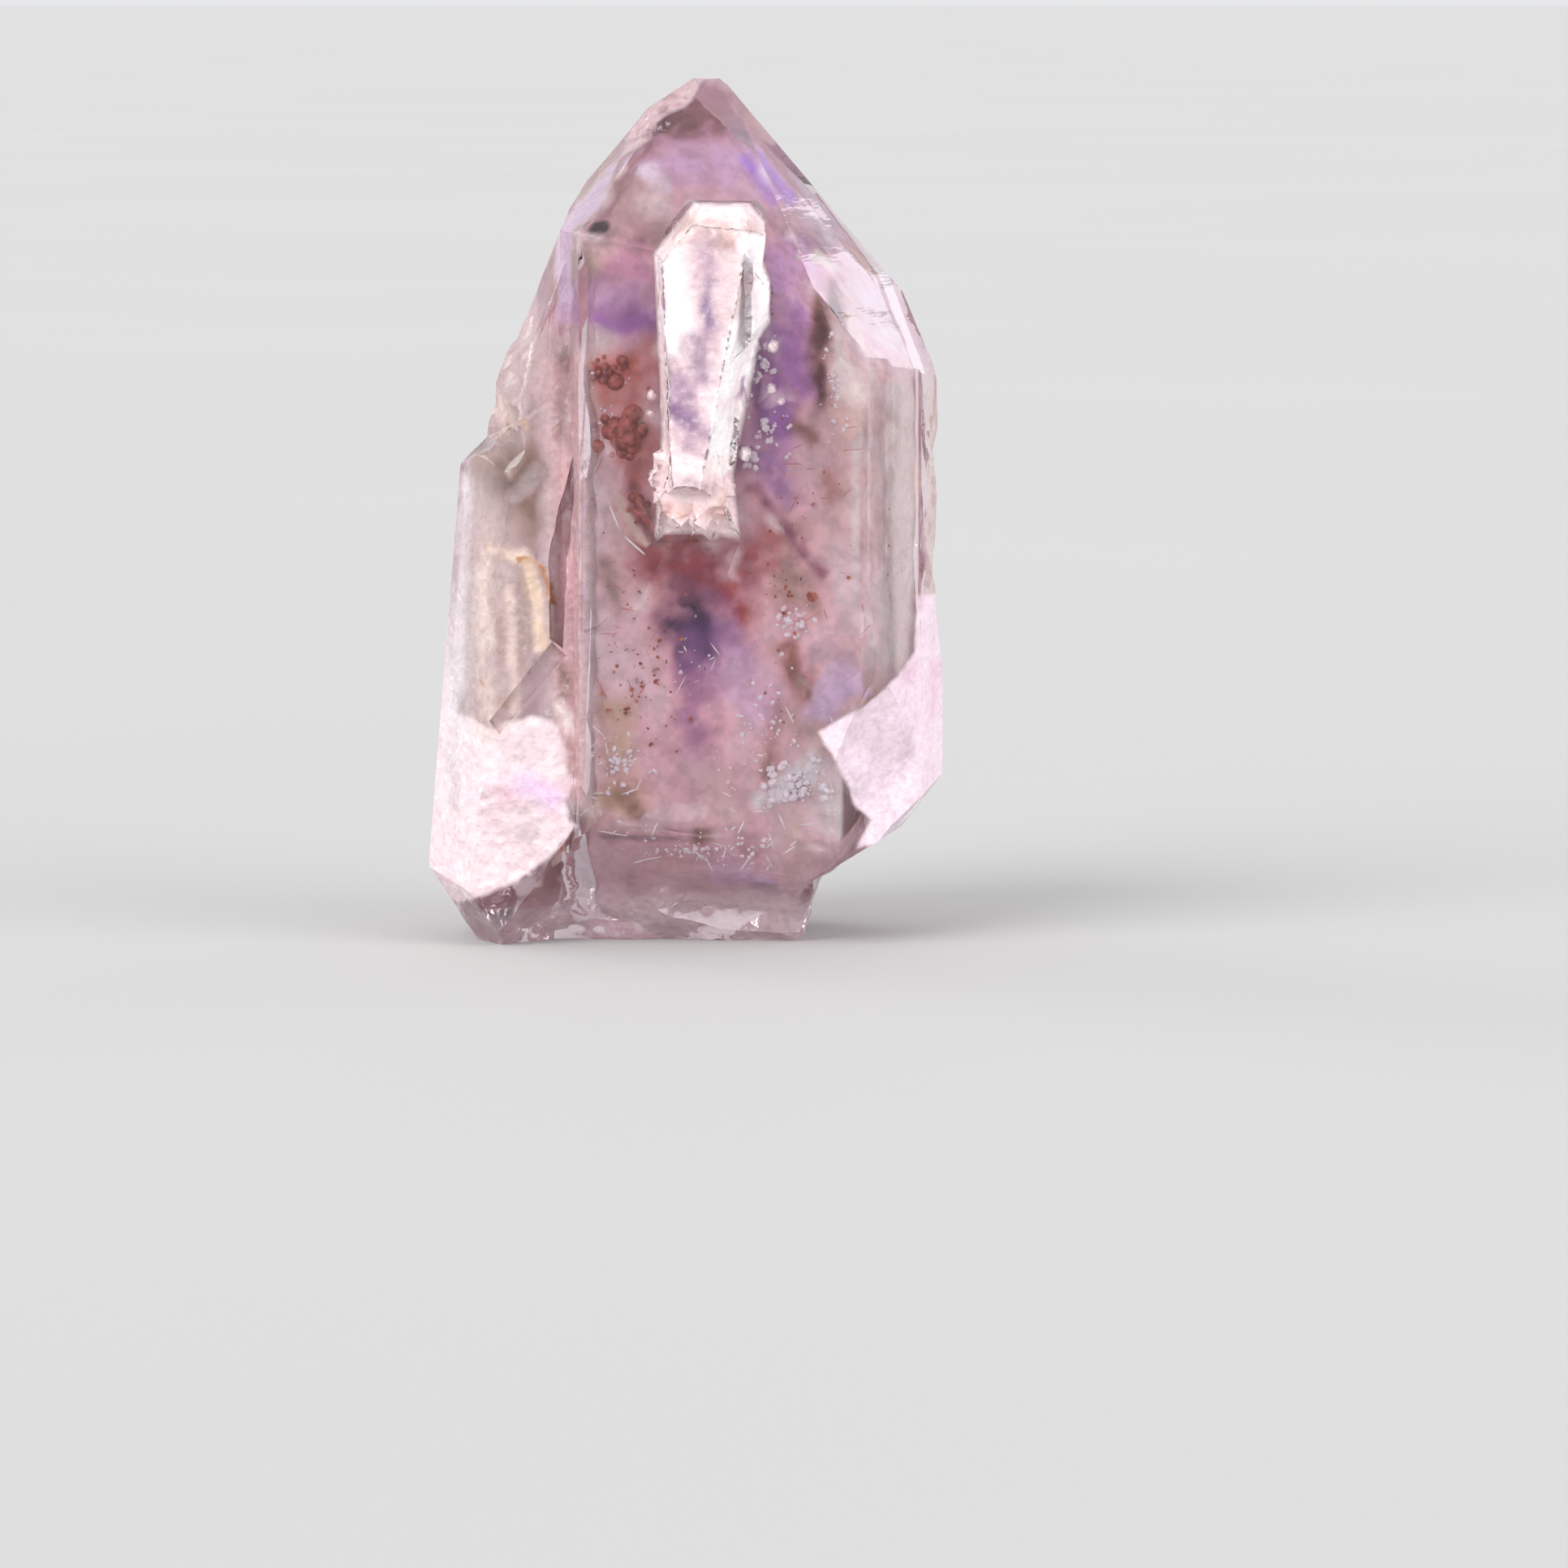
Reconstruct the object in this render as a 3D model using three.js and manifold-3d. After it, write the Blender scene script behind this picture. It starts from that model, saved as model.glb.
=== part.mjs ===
// A Brandberg amethyst: a clear quartz crystal that grew together with a parallel crystal on its left,
// smaller ones at its back and a stubby one on its front. It broke off its rock and stands on that break.
// Millimetres, +Z up along the crystal's long axis, the broad front face looking along -Y.
import * as THREE from "three";
import { mergeVertices } from "three/addons/utils/BufferGeometryUtils.js";
import Module from "manifold-3d";

const HEIGHT = 35.2;
const FRONT = 6.0; // from the long axis out to the broad front face
const BACK = 6.5;
const LEFT_BACK = 4.6; // the left crystal's back face
const RHOMB = 1.272; // rise over run of quartz's own end faces, 51.8 degrees
const WAIST = { left: -4.5, right: 7.16 }; // the front face's upright edges
const SMALL_PROUD = 2.15; // how far the small crystal stands out of the front face

const FRONT_SHOULDER = [WAIST.left, -FRONT, 29.0];
const RIGHT_SHOULDER = [WAIST.right, -FRONT, 24.05];
const LEFT_SHOULDER = [-5.13, -2.49, 29.5];
const TIP = { left: [0.08, -0.3, 35.13], right: [1.37, -0.3, 35.13] };

const wasm = await Module();
wasm.setup();

// A flat face is { normal, offset }: a point lies within it when normal . point <= offset.
// Azimuth 0 looks out of the front and 90 out of the right side.
function faceThrough(azimuth, steepness, up, point) {
  const a = THREE.MathUtils.degToRad(azimuth);
  const normal = new THREE.Vector3(steepness * Math.sin(a), -steepness * Math.cos(a), up).normalize();
  return { normal, offset: normal.dot(new THREE.Vector3(...point)) };
}

const prismFace = (azimuth, point, lean = 0) => faceThrough(azimuth, 1, lean, point);
const endFace = (azimuth, steepness, point) => faceThrough(azimuth, steepness, 1, point);
const rootFace = (azimuth, steepness, point) => faceThrough(azimuth, steepness, -1, point);
const base = () => rootFace(0, 0, [0, 0, 0]);

const SLACK = 1e-6;

// Every corner where three faces meet and no other face cuts it off.
function cornersOf(faces) {
  const corners = [];
  const addCorner = (a, b, c) => {
    const bc = new THREE.Vector3().crossVectors(b.normal, c.normal);
    const determinant = a.normal.dot(bc);
    if (Math.abs(determinant) < SLACK) return;
    const corner = bc
      .multiplyScalar(a.offset)
      .addScaledVector(new THREE.Vector3().crossVectors(c.normal, a.normal), b.offset)
      .addScaledVector(new THREE.Vector3().crossVectors(a.normal, b.normal), c.offset)
      .divideScalar(determinant);
    const inside = faces.every((face) => face.normal.dot(corner) <= face.offset + SLACK);
    if (inside && corners.every((other) => other.distanceTo(corner) > SLACK)) corners.push(corner);
  };
  faces.forEach((a, i) => {
    faces.slice(i + 1).forEach((b, j) => {
      faces.slice(i + j + 2).forEach((c) => addCorner(a, b, c));
    });
  });
  return corners;
}

// The convex body that its flat faces enclose.
function crystalBody(faces) {
  const corners = cornersOf(faces);
  const triangles = [];
  for (const { normal, offset } of faces) {
    const ring = corners.filter((corner) => Math.abs(normal.dot(corner) - offset) < 10 * SLACK);
    if (ring.length < 3) continue;
    const middle = new THREE.Vector3();
    ring.forEach((corner) => middle.addScaledVector(corner, 1 / ring.length));
    const across = new THREE.Vector3().subVectors(ring[0], middle).normalize();
    const along = new THREE.Vector3().crossVectors(normal, across);
    const turnOf = (corner) => {
      const arm = new THREE.Vector3().subVectors(corner, middle);
      return Math.atan2(arm.dot(along), arm.dot(across));
    };
    ring.sort((p, q) => turnOf(p) - turnOf(q));
    for (let i = 1; i + 1 < ring.length; i += 1) {
      triangles.push(...[ring[0], ring[i], ring[i + 1]].map((corner) => corners.indexOf(corner)));
    }
  }
  return solidOf(geometryOf(corners, triangles));
}

function geometryOf(points, triangles) {
  const geometry = new THREE.BufferGeometry();
  const numbers = points.flatMap((point) => point.toArray());
  geometry.setAttribute("position", new THREE.Float32BufferAttribute(numbers, 3));
  geometry.setIndex(triangles);
  return geometry;
}

function solidOf(geometry) {
  geometry.deleteAttribute("normal");
  geometry.deleteAttribute("uv");
  const merged = mergeVertices(geometry, 1e-5);
  return new wasm.Manifold(
    new wasm.Mesh({
      numProp: 3,
      vertProperties: new Float32Array(merged.attributes.position.array),
      triVerts: new Uint32Array(merged.index.array),
    }),
  );
}

const joined = (solids) => solids.reduce((all, solid) => all.add(solid));

// Smooth noise from -1 to 1, the same on every run.
function lattice(cell, seed) {
  const wave = Math.sin(cell[0] * 127.1 + cell[1] * 311.7 + cell[2] * 74.7 + seed * 53.3) * 43758.5453;
  return 2 * (wave - Math.floor(wave)) - 1;
}

function noise(point, size, seed) {
  const place = point.toArray().map((v) => v / size);
  const cell = place.map(Math.floor);
  const ease = place.map((v, i) => THREE.MathUtils.smoothstep(v - cell[i], 0, 1));
  let sum = 0;
  for (let corner = 0; corner < 8; corner += 1) {
    const step = [corner & 1, (corner >> 1) & 1, (corner >> 2) & 1];
    const share = step.reduce((product, s, i) => product * (s ? ease[i] : 1 - ease[i]), 1);
    sum += share * lattice(cell.map((v, i) => v + step[i]), seed);
  }
  return sum;
}

// The main crystal's end. A rough bevel runs down from the tip between the front and left end faces.
function endFaces() {
  return [
    endFace(10, 1.292, FRONT_SHOULDER),
    endFace(63.3, 1.433, RIGHT_SHOULDER),
    endFace(120, 1.25, TIP.right),
    endFace(82, 2.96, [9.49, 0.6, 25.55]),
    endFace(180, RHOMB, [0.5, 1.0, HEIGHT]),
    endFace(-110, 1.546, [-3.23, -0.37, 32.11]),
    endFace(-100, 2.33, LEFT_SHOULDER),
    endFace(-70.5, 1.045, FRONT_SHOULDER),
    endFace(-14.6, 0.824, [0.57, -0.69, 34.68]),
    endFace(-90, 0.66, TIP.left),
    endFace(150, 0.05, [0.4, 0.3, HEIGHT]),
  ];
}

// The break at the foot: how high it cuts each side.
const FRONT_BREAK = rootFace(-5.8, 1.277, [-4.78, -FRONT, 5.35]);
const RIGHT_BREAK = rootFace(80, 1.18, [10.26, -0.6, 6.54]);
const UNDERCUT = rootFace(80, 0.6, [5.12, -3.0, 2.64]);
const BACK_BREAK = rootFace(178, 1.9, [0, BACK, 2.6]);
const BACK_RIGHT_BREAK = rootFace(130, 1.4, [6.6, 4.2, 3.4]);

// Layers that share one end: each has its front further back and its right face further out than the
// last, which leaves upright ledges on the right.
const RIGHT_LAYERS = [
  { front: FRONT, edge: WAIST.right, side: [9.92, -1.2, 0] },
  { front: 4.6, edge: 8.22, side: [10.0, -1.4, 0] },
  { front: 2.75, edge: 9.42, side: [10.06, -1.65, 0] },
];

function mainCrystal() {
  return joined(
    RIGHT_LAYERS.map(({ front, edge, side }) =>
      crystalBody([
        prismFace(0, [0, -front, 0]),
        prismFace(60, [edge, -front, 0]),
        prismFace(120, side),
        prismFace(180, [0, BACK, 0]),
        prismFace(-108, [-5.3, -3.75, 0]),
        prismFace(-72, [WAIST.left, -FRONT, 0]),
        ...endFaces(),
        FRONT_BREAK,
        RIGHT_BREAK,
        UNDERCUT,
        BACK_BREAK,
        BACK_RIGHT_BREAK,
        base(),
      ]),
    ),
  );
}

// The main crystal swells out low on its right side.
function rightSwell() {
  return crystalBody([
    prismFace(0, [0, -FRONT, 0]),
    prismFace(60, [7.5, -FRONT, 0]),
    prismFace(90, [10.49, 0, 0]),
    prismFace(120, [10.3, -0.9, 0]),
    prismFace(180, [0, BACK - 1.6, 0]),
    prismFace(-90, [1.0, 0, 0]),
    ...endFaces(),
    endFace(88, 8.6, [9.86, -0.5, 15.1]),
    endFace(58, 9.0, [7.46, -FRONT, 12.4]),
    endFace(125, 4.0, [9.6, 0.4, 14.0]),
    rootFace(90, 3.3, [10.49, 0, 7.31]),
    FRONT_BREAK,
    RIGHT_BREAK,
    UNDERCUT,
    BACK_BREAK,
    BACK_RIGHT_BREAK,
    base(),
  ]);
}

// What the crystal stands on: the middle of the break, cut level.
function foot() {
  return crystalBody([
    endFace(0, 0, [0, 0, 4.4]),
    prismFace(0, [0, 1.2 - FRONT, 0]),
    prismFace(180, [0, LEFT_BACK, 0]),
    ...leftFaces(LEFT_STEPS.at(-1)),
    rootFace(85, 3.2, [5.12, -3.0, 2.64]),
    rootFace(130, 1.6, [4.4, 4.0, 3.0]),
    rootFace(-85, 2.4, [-9.3, 0, 2.6]),
    FRONT_BREAK,
    BACK_BREAK,
    base(),
  ]);
}

// The parallel crystal on the left climbs towards the main one in ragged steps: where each step's left
// edge is, how high that edge reaches, how steeply the step's top climbs, and where its front is.
const LEFT_STEPS = [
  { edge: -6.2, top: 26.05, slope: 1.42, front: 4.75 },
  { edge: -6.95, top: 24.95, slope: 1.4, front: 4.2 },
  { edge: -7.46, top: 24.0, slope: 1.8, front: 4.6 },
  { edge: -7.86, top: 22.85, slope: 2.4, front: 4.0 },
  { edge: -8.22, top: 21.35, slope: 2.8, front: 4.45 },
  { edge: -9.38, top: 19.55, slope: 1.1, front: 5.3 },
];
const LEFT_LEAN = 0.071; // its outer faces spread towards the foot
const LEFT_EDGE_Y = -1.7;

const leftFaces = ({ edge, top }) =>
  [-60, -120].map((azimuth) => prismFace(azimuth, [edge, LEFT_EDGE_Y, top], LEFT_LEAN));

function leftStep(step) {
  const { edge, top, slope, front } = step;
  const outline = [edge, LEFT_EDGE_Y, top];
  return crystalBody([
    prismFace(0, [0, -front, 0]),
    ...leftFaces(step),
    prismFace(180, [0, LEFT_BACK - 0.4 * (front - 4), 0]),
    prismFace(90, [-2.0, 0, 0]),
    ...endFaces(),
    endFace(-74, slope, outline),
    endFace(-112, slope, outline),
    rootFace(-66, 1.7, [-10.6, LEFT_EDGE_Y, 2.75]),
    rootFace(-116, 1.5, [-10.5, LEFT_EDGE_Y, 2.75]),
    rootFace(46, 1.6, [-4.5, -front, 5.2]),
    rootFace(176, 1.6, [0, LEFT_BACK, 3.4]),
    base(),
  ]);
}

// Shorter crystals side by side with the main one, half sunk into its back and flanks: where their axes
// are, how wide and tall they are, where they start, and how far they lean out in degrees.
const COMPANIONS = [
  { at: [-3.1, 4.4], radius: 2.75, top: 22.3, low: 3.4, lean: [-1.5, 2.0] },
  { at: [2.6, 5.0], radius: 2.2, top: 12.6, low: 3.0, lean: [-2.5, -1.5] },
  { at: [6.3, 3.0], radius: 2.1, top: 17.8, low: 5.4, lean: [-1.0, -1.0] },
  { at: [-7.2, 2.6], radius: 2.5, top: 14.2, low: 3.2, lean: [-2.0, 2.5] },
  { at: [0.4, 5.9], radius: 1.0, top: 18.4, low: 9.0, lean: [-3.0, -3.0] },
  { at: [-5.4, 4.6], radius: 1.3, top: 9.6, low: 3.4, lean: [-4.0, 5.0] },
];
const SIX_SIDES = [0, 60, 120, 180, 240, 300];
const UNEVEN = 0.16; // how much the six sides differ in distance from their axis

function companion({ at: [x, y], radius, top, low, lean }, index) {
  const reach = SIX_SIDES.map((azimuth) => radius * (1 + UNEVEN * lattice([azimuth, index, 0], 7)));
  const sideOf = (azimuth, i, z) => {
    const a = THREE.MathUtils.degToRad(azimuth);
    return [reach[i] * Math.sin(a), -reach[i] * Math.cos(a), z];
  };
  const shoulder = top - radius * RHOMB;
  const crystal = crystalBody([
    ...SIX_SIDES.map((azimuth, i) => prismFace(azimuth, sideOf(azimuth, i, 0))),
    ...SIX_SIDES.map((azimuth, i) => endFace(azimuth, RHOMB, sideOf(azimuth, i, shoulder - 0.8 * (i % 2)))),
    ...SIX_SIDES.map((azimuth, i) => rootFace(azimuth, 1.1, sideOf(azimuth, i, low))),
    rootFace(0, 0, [0, 0, 1.2]),
  ]);
  return crystal.rotate([lean[0], lean[1], 0]).translate([x, y, 0]);
}

// The small crystal on the front: a blunt head, a body that narrows downwards and a ragged collar.
function smallCrystal() {
  const proud = -FRONT - SMALL_PROUD;
  const sunk = prismFace(180, [0, -FRONT + 1.0, 0]);
  const shaft = crystalBody([
    prismFace(0, [0, proud, 0]),
    prismFace(60, [1.55, proud, 24.4], -0.17),
    prismFace(97, [3.05, -6.6, 28.0], -0.06),
    prismFace(-83, [-1.08, -7.2, 22.0], -0.045),
    sunk,
    endFace(-76, 1.26, [-1.36, -7.2, 28.06]),
    endFace(6, 0.82, [0.5, proud, 29.45]),
    endFace(72, 1.3, [2.97, -6.9, 29.25]),
    endFace(20, 0.04, [0.8, -6.3, 30.28]),
    rootFace(-10, 0.3, [0.4, proud, 18.7]),
  ]);
  const bulge = crystalBody([
    prismFace(56, [2.62, -7.45, 26.2], -0.08),
    prismFace(95, [3.3, -6.6, 26.2]),
    sunk,
    prismFace(-90, [2.3, 0, 0]),
    endFace(78, 2.6, [3.3, -6.6, 26.7]),
    rootFace(74, 1.5, [3.3, -6.6, 25.7]),
  ]);
  const neck = crystalBody([
    prismFace(-4, [0.3, -7.25, 18.5]),
    prismFace(70, [1.55, -6.9, 18.5], 0.1),
    prismFace(-76, [-1.15, -6.9, 18.5], 0.06),
    sunk,
    endFace(0, 0.2, [0.3, -7.2, 20.6]),
    rootFace(0, 1.1, [0.3, -7.2, 17.9]),
  ]);
  return joined([shaft, bulge, neck, ...GRAINS.map(grain)]);
}

// Blunt grains of quartz round the collar and beside the small crystal: middle and radius.
const GRAINS = [
  { at: [-1.2, -6.45, 19.95], radius: 0.52 },
  { at: [-1.4, -6.3, 19.2], radius: 0.55 },
  { at: [-1.05, -6.6, 18.4], radius: 0.62 },
  { at: [-0.55, -6.7, 17.75], radius: 0.72 },
  { at: [0.35, -6.75, 17.75], radius: 0.82 },
  { at: [1.1, -6.6, 17.9], radius: 0.7 },
  { at: [1.5, -6.4, 18.7], radius: 0.58 },
  { at: [1.4, -6.5, 19.5], radius: 0.42 },
  { at: [0.3, -7.25, 19.3], radius: 0.45 },
  { at: [-0.5, -7.15, 18.9], radius: 0.4 },
  { at: [3.33, -6.0, 24.45], radius: 0.34 },
  { at: [3.27, -6.0, 22.75], radius: 0.3 },
  { at: [3.66, -6.0, 22.3], radius: 0.24 },
  { at: [2.2, -6.05, 20.15], radius: 0.36 },
  { at: [-1.55, -6.05, 22.5], radius: 0.28 },
  { at: [-1.6, -6.05, 21.75], radius: 0.24 },
];

function grain({ at, radius }, index) {
  const lump = new THREE.IcosahedronGeometry(radius, 0);
  lump.scale(1, 0.85, 1.15);
  lump.rotateZ(1.3 * index);
  lump.rotateX(0.7 * index);
  lump.translate(...at);
  return solidOf(lump);
}

// Shell-shaped breaks. Each is cut by a bowl that faces along `facing`: half its width and height at
// the surface, its depth, and how bluntly the bowl curves.
const SCOOPS = [
  { at: [7.6, -4.9, 7.3], facing: [0.64, -0.75, -0.16], width: 3.3, height: 3.9, depth: 0.75, bulk: 6 },
  { at: [-6.6, -5.3, 5.4], facing: [-0.12, -0.97, -0.2], width: 2.3, height: 3.7, depth: 0.4, bulk: 5 },
  { at: [-7.9, -4.3, 19.9], facing: [-0.5, -0.7, 0.5], width: 1.2, height: 0.8, depth: 0.2, bulk: 1.4 },
  { at: [2.4, -0.5, 33.9], facing: [0.85, -0.2, 0.5], width: 0.8, height: 0.6, depth: 0.1, bulk: 0.6 },
  { at: [10.1, -1.4, 20.1], facing: [1, -0.3, 0], width: 0.9, height: 1.0, depth: 0.16, bulk: 1.2 },
  { at: [10.1, -1.3, 15.1], facing: [1, -0.2, 0.1], width: 1.3, height: 0.9, depth: 0.24, bulk: 1.4 },
  { at: [0.4, -3.9, 2.2], facing: [0.05, -0.72, -0.69], width: 3.6, height: 1.4, depth: 0.35, bulk: 3.0 },
  { at: [-9.4, 3.1, 3.2], facing: [-0.6, 0.6, -0.4], width: 2.6, height: 2.3, depth: 0.5, bulk: 4.0 },
  { at: [1.2, 6.6, 4.0], facing: [0.1, 0.9, -0.4], width: 4.0, height: 2.0, depth: 0.5, bulk: 4.0 },
  { at: [-1.2, 6.5, 25.0], facing: [-0.3, 0.92, 0.22], width: 1.9, height: 2.6, depth: 0.3, bulk: 3.0 },
  { at: [9.6, 0.9, 9.2], facing: [0.9, 0.43, -0.05], width: 1.9, height: 3.0, depth: 0.3, bulk: 3.5 },
];
const UP = new THREE.Vector3(0, 0, 1);

function scoop({ at, facing, width, height, depth, bulk }) {
  const outward = new THREE.Vector3(...facing).normalize();
  const rim = Math.sqrt(1 - ((bulk - depth) / bulk) ** 2);
  const bowl = new THREE.IcosahedronGeometry(1, 2);
  bowl.scale(width / rim, height / rim, bulk);
  bowl.applyMatrix4(new THREE.Matrix4().lookAt(outward, new THREE.Vector3(), UP));
  const middle = new THREE.Vector3(...at).addScaledVector(outward, bulk - depth);
  bowl.translate(...middle.toArray());
  return solidOf(bowl);
}

// The open seam between the two crystals, drawn on the front as (x, z).
const SEAM = [
  [-4.72, 20.1],
  [-5.25, 18.1],
  [-5.75, 15.6],
  [-5.7, 12.6],
  [-5.15, 12.2],
  [-4.95, 15.8],
  [-4.68, 18.2],
];
const SEAM_FLOOR = -4.35;

// A shallow slanting crack in the front of the left crystal, drawn the same way.
const CRACK = [
  [-5.6, 12.5],
  [-5.05, 11.95],
  [-7.7, 8.75],
  [-8.15, 9.3],
];
const CRACK_FLOOR = -5.02;

// Low growth layers on the front and back faces, drawn as (x, z), and how proud they lie.
const FRONT_LAYERS = [
  {
    rise: 0.14,
    outline: [[2.6, 18.2], [5.2, 15.45], [7.0, 13.6], [7.0, 11.5], [5.2, 10.2], [3.0, 12.4], [1.5, 15.3]],
  },
  {
    rise: 0.12,
    outline: [[-4.3, 20.7], [-3.3, 20.1], [-2.3, 18.8], [-1.5, 16.8], [-1.1, 16.1], [-2, 13.9], [-4.35, 13]],
  },
];
const BACK_LAYERS = [
  { rise: 0.3, outline: [[-1.6, 24.0], [1.7, 27.6], [4.4, 24.2], [4.3, 14.6], [1.2, 12.2], [-1.8, 15.2]] },
];

function slab(outline, near, far) {
  const shape = new THREE.Shape(outline.map(([x, z]) => new THREE.Vector2(x, z)));
  const block = new THREE.ExtrudeGeometry(shape, { depth: far - near, bevelEnabled: false });
  block.rotateX(Math.PI / 2);
  block.translate(0, far, 0);
  return solidOf(block);
}

function roughBody() {
  const grown = joined([
    mainCrystal(),
    rightSwell(),
    foot(),
    ...LEFT_STEPS.map(leftStep),
    ...COMPANIONS.map(companion),
    ...FRONT_LAYERS.map(({ rise, outline }) => slab(outline, -FRONT - rise, -FRONT + 0.5)),
    ...BACK_LAYERS.map(({ rise, outline }) => slab(outline, BACK - 0.5, BACK + rise)),
  ]);
  const seam = slab(SEAM, -FRONT - 1, SEAM_FLOOR);
  const crack = slab(CRACK, -FRONT - 1, CRACK_FLOOR);
  const cuts = [...SCOOPS.map(scoop), seam, crack];
  return cuts.reduce((left, cut) => left.subtract(cut), grown).add(smallCrystal());
}

// Where the surface is broken, etched or sugary: middle, reach along each axis, and how rough it is.
const ROUGH_ZONES = [
  { at: [-0.9, -1.6, 33.7], reach: [2.3, 2.6, 1.9], rough: 0.16 },
  { at: [-7.3, -2.0, 22.6], reach: [2.7, 6.0, 4.4], rough: 0.17 },
  { at: [0.2, -6.9, 18.5], reach: [2.4, 1.7, 2.1], rough: 0.15 },
  { at: [8.6, -4.4, 7.5], reach: [3.6, 3.8, 4.2], rough: 0.13 },
  { at: [-7.6, -4.2, 5.4], reach: [3.9, 3.4, 5.4], rough: 0.14 },
  { at: [10.1, -1.4, 17.2], reach: [0.9, 2.4, 6.0], rough: 0.12 },
  { at: [-5.3, -5.3, 16.0], reach: [1.2, 1.4, 4.8], rough: 0.11 },
  { at: [0, 0, 0], reach: [14, 10, 5.0], rough: 0.2 },
  { at: [0, 7.0, 5.0], reach: [7.5, 2.5, 4.0], rough: 0.14 },
];
const ROUGH_GRAIN = 1.15;

function roughnessAt(point) {
  const amounts = ROUGH_ZONES.map(({ at, reach, rough }) => {
    const away = point.toArray().map((v, i) => (v - at[i]) / reach[i]);
    return rough * (1 - THREE.MathUtils.smoothstep(Math.hypot(...away), 0.55, 1));
  });
  return Math.max(...amounts);
}

// A point moved as the rough surface is. The base stays flat.
function roughened(point) {
  const amount = roughnessAt(point);
  const push = [0, 1, 2].map((seed) => amount * noise(point, ROUGH_GRAIN, seed));
  const level = THREE.MathUtils.smoothstep(point.z, 0, 0.9);
  return new THREE.Vector3(point.x + push[0], point.y + push[1], point.z + level * push[2]);
}

const edgeKey = (a, b) => (a < b ? `${a}_${b}` : `${b}_${a}`);

// Splits long edges in two until each is as short as its place needs.
const LONG_EDGE = { rough: 0.95, flat: 4.5 };

function splitLongEdges(points, triangles) {
  const tooLong = (a, b) => {
    const middle = new THREE.Vector3().addVectors(points[a], points[b]).multiplyScalar(0.5);
    const limit = roughnessAt(middle) > 0.06 ? LONG_EDGE.rough : LONG_EDGE.flat;
    return points[a].distanceTo(points[b]) > limit;
  };
  const longestOf = ([a, b, c]) =>
    [[a, b], [b, c], [c, a]].reduce((best, edge) =>
      points[edge[0]].distanceTo(points[edge[1]]) > points[best[0]].distanceTo(points[best[1]]) ? edge : best,
    );
  let current = triangles;
  for (let changed = true; changed; ) {
    const halves = new Map();
    current.forEach((triangle) => {
      const [a, b] = longestOf(triangle);
      if (!tooLong(a, b) || halves.has(edgeKey(a, b))) return;
      halves.set(edgeKey(a, b), points.length);
      points.push(new THREE.Vector3().addVectors(points[a], points[b]).multiplyScalar(0.5));
    });
    changed = halves.size > 0;
    current = current.flatMap((triangle) => splitTriangle(triangle, halves));
  }
  return current;
}

// A triangle whose edges have some middle points becomes two, three or four.
function splitTriangle([a, b, c], halves) {
  const [ab, bc, ca] = [edgeKey(a, b), edgeKey(b, c), edgeKey(c, a)].map((key) => halves.get(key));
  if (ab !== undefined) return [...splitTriangle([a, ab, c], halves), ...splitTriangle([ab, b, c], halves)];
  if (bc !== undefined) return splitTriangle([b, c, a], halves);
  if (ca !== undefined) return splitTriangle([c, a, b], halves);
  return [[a, b, c]];
}

// Joins points that lie closer than SHORT_EDGE, and turns the shared edge of two triangles where they are
// needle-thin or where they lie in one plane and the other diagonal is shorter.
const SHORT_EDGE = 0.09;
const THIN = 0.035;
const SAME_PLANE = 0.99999;

function tidied(points, triangles) {
  let current = triangles;
  for (let pass = 0; pass < 80; pass += 1) {
    const next = tidyPass(points, current);
    if (next === current) break;
    current = next;
  }
  return current;
}

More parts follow.
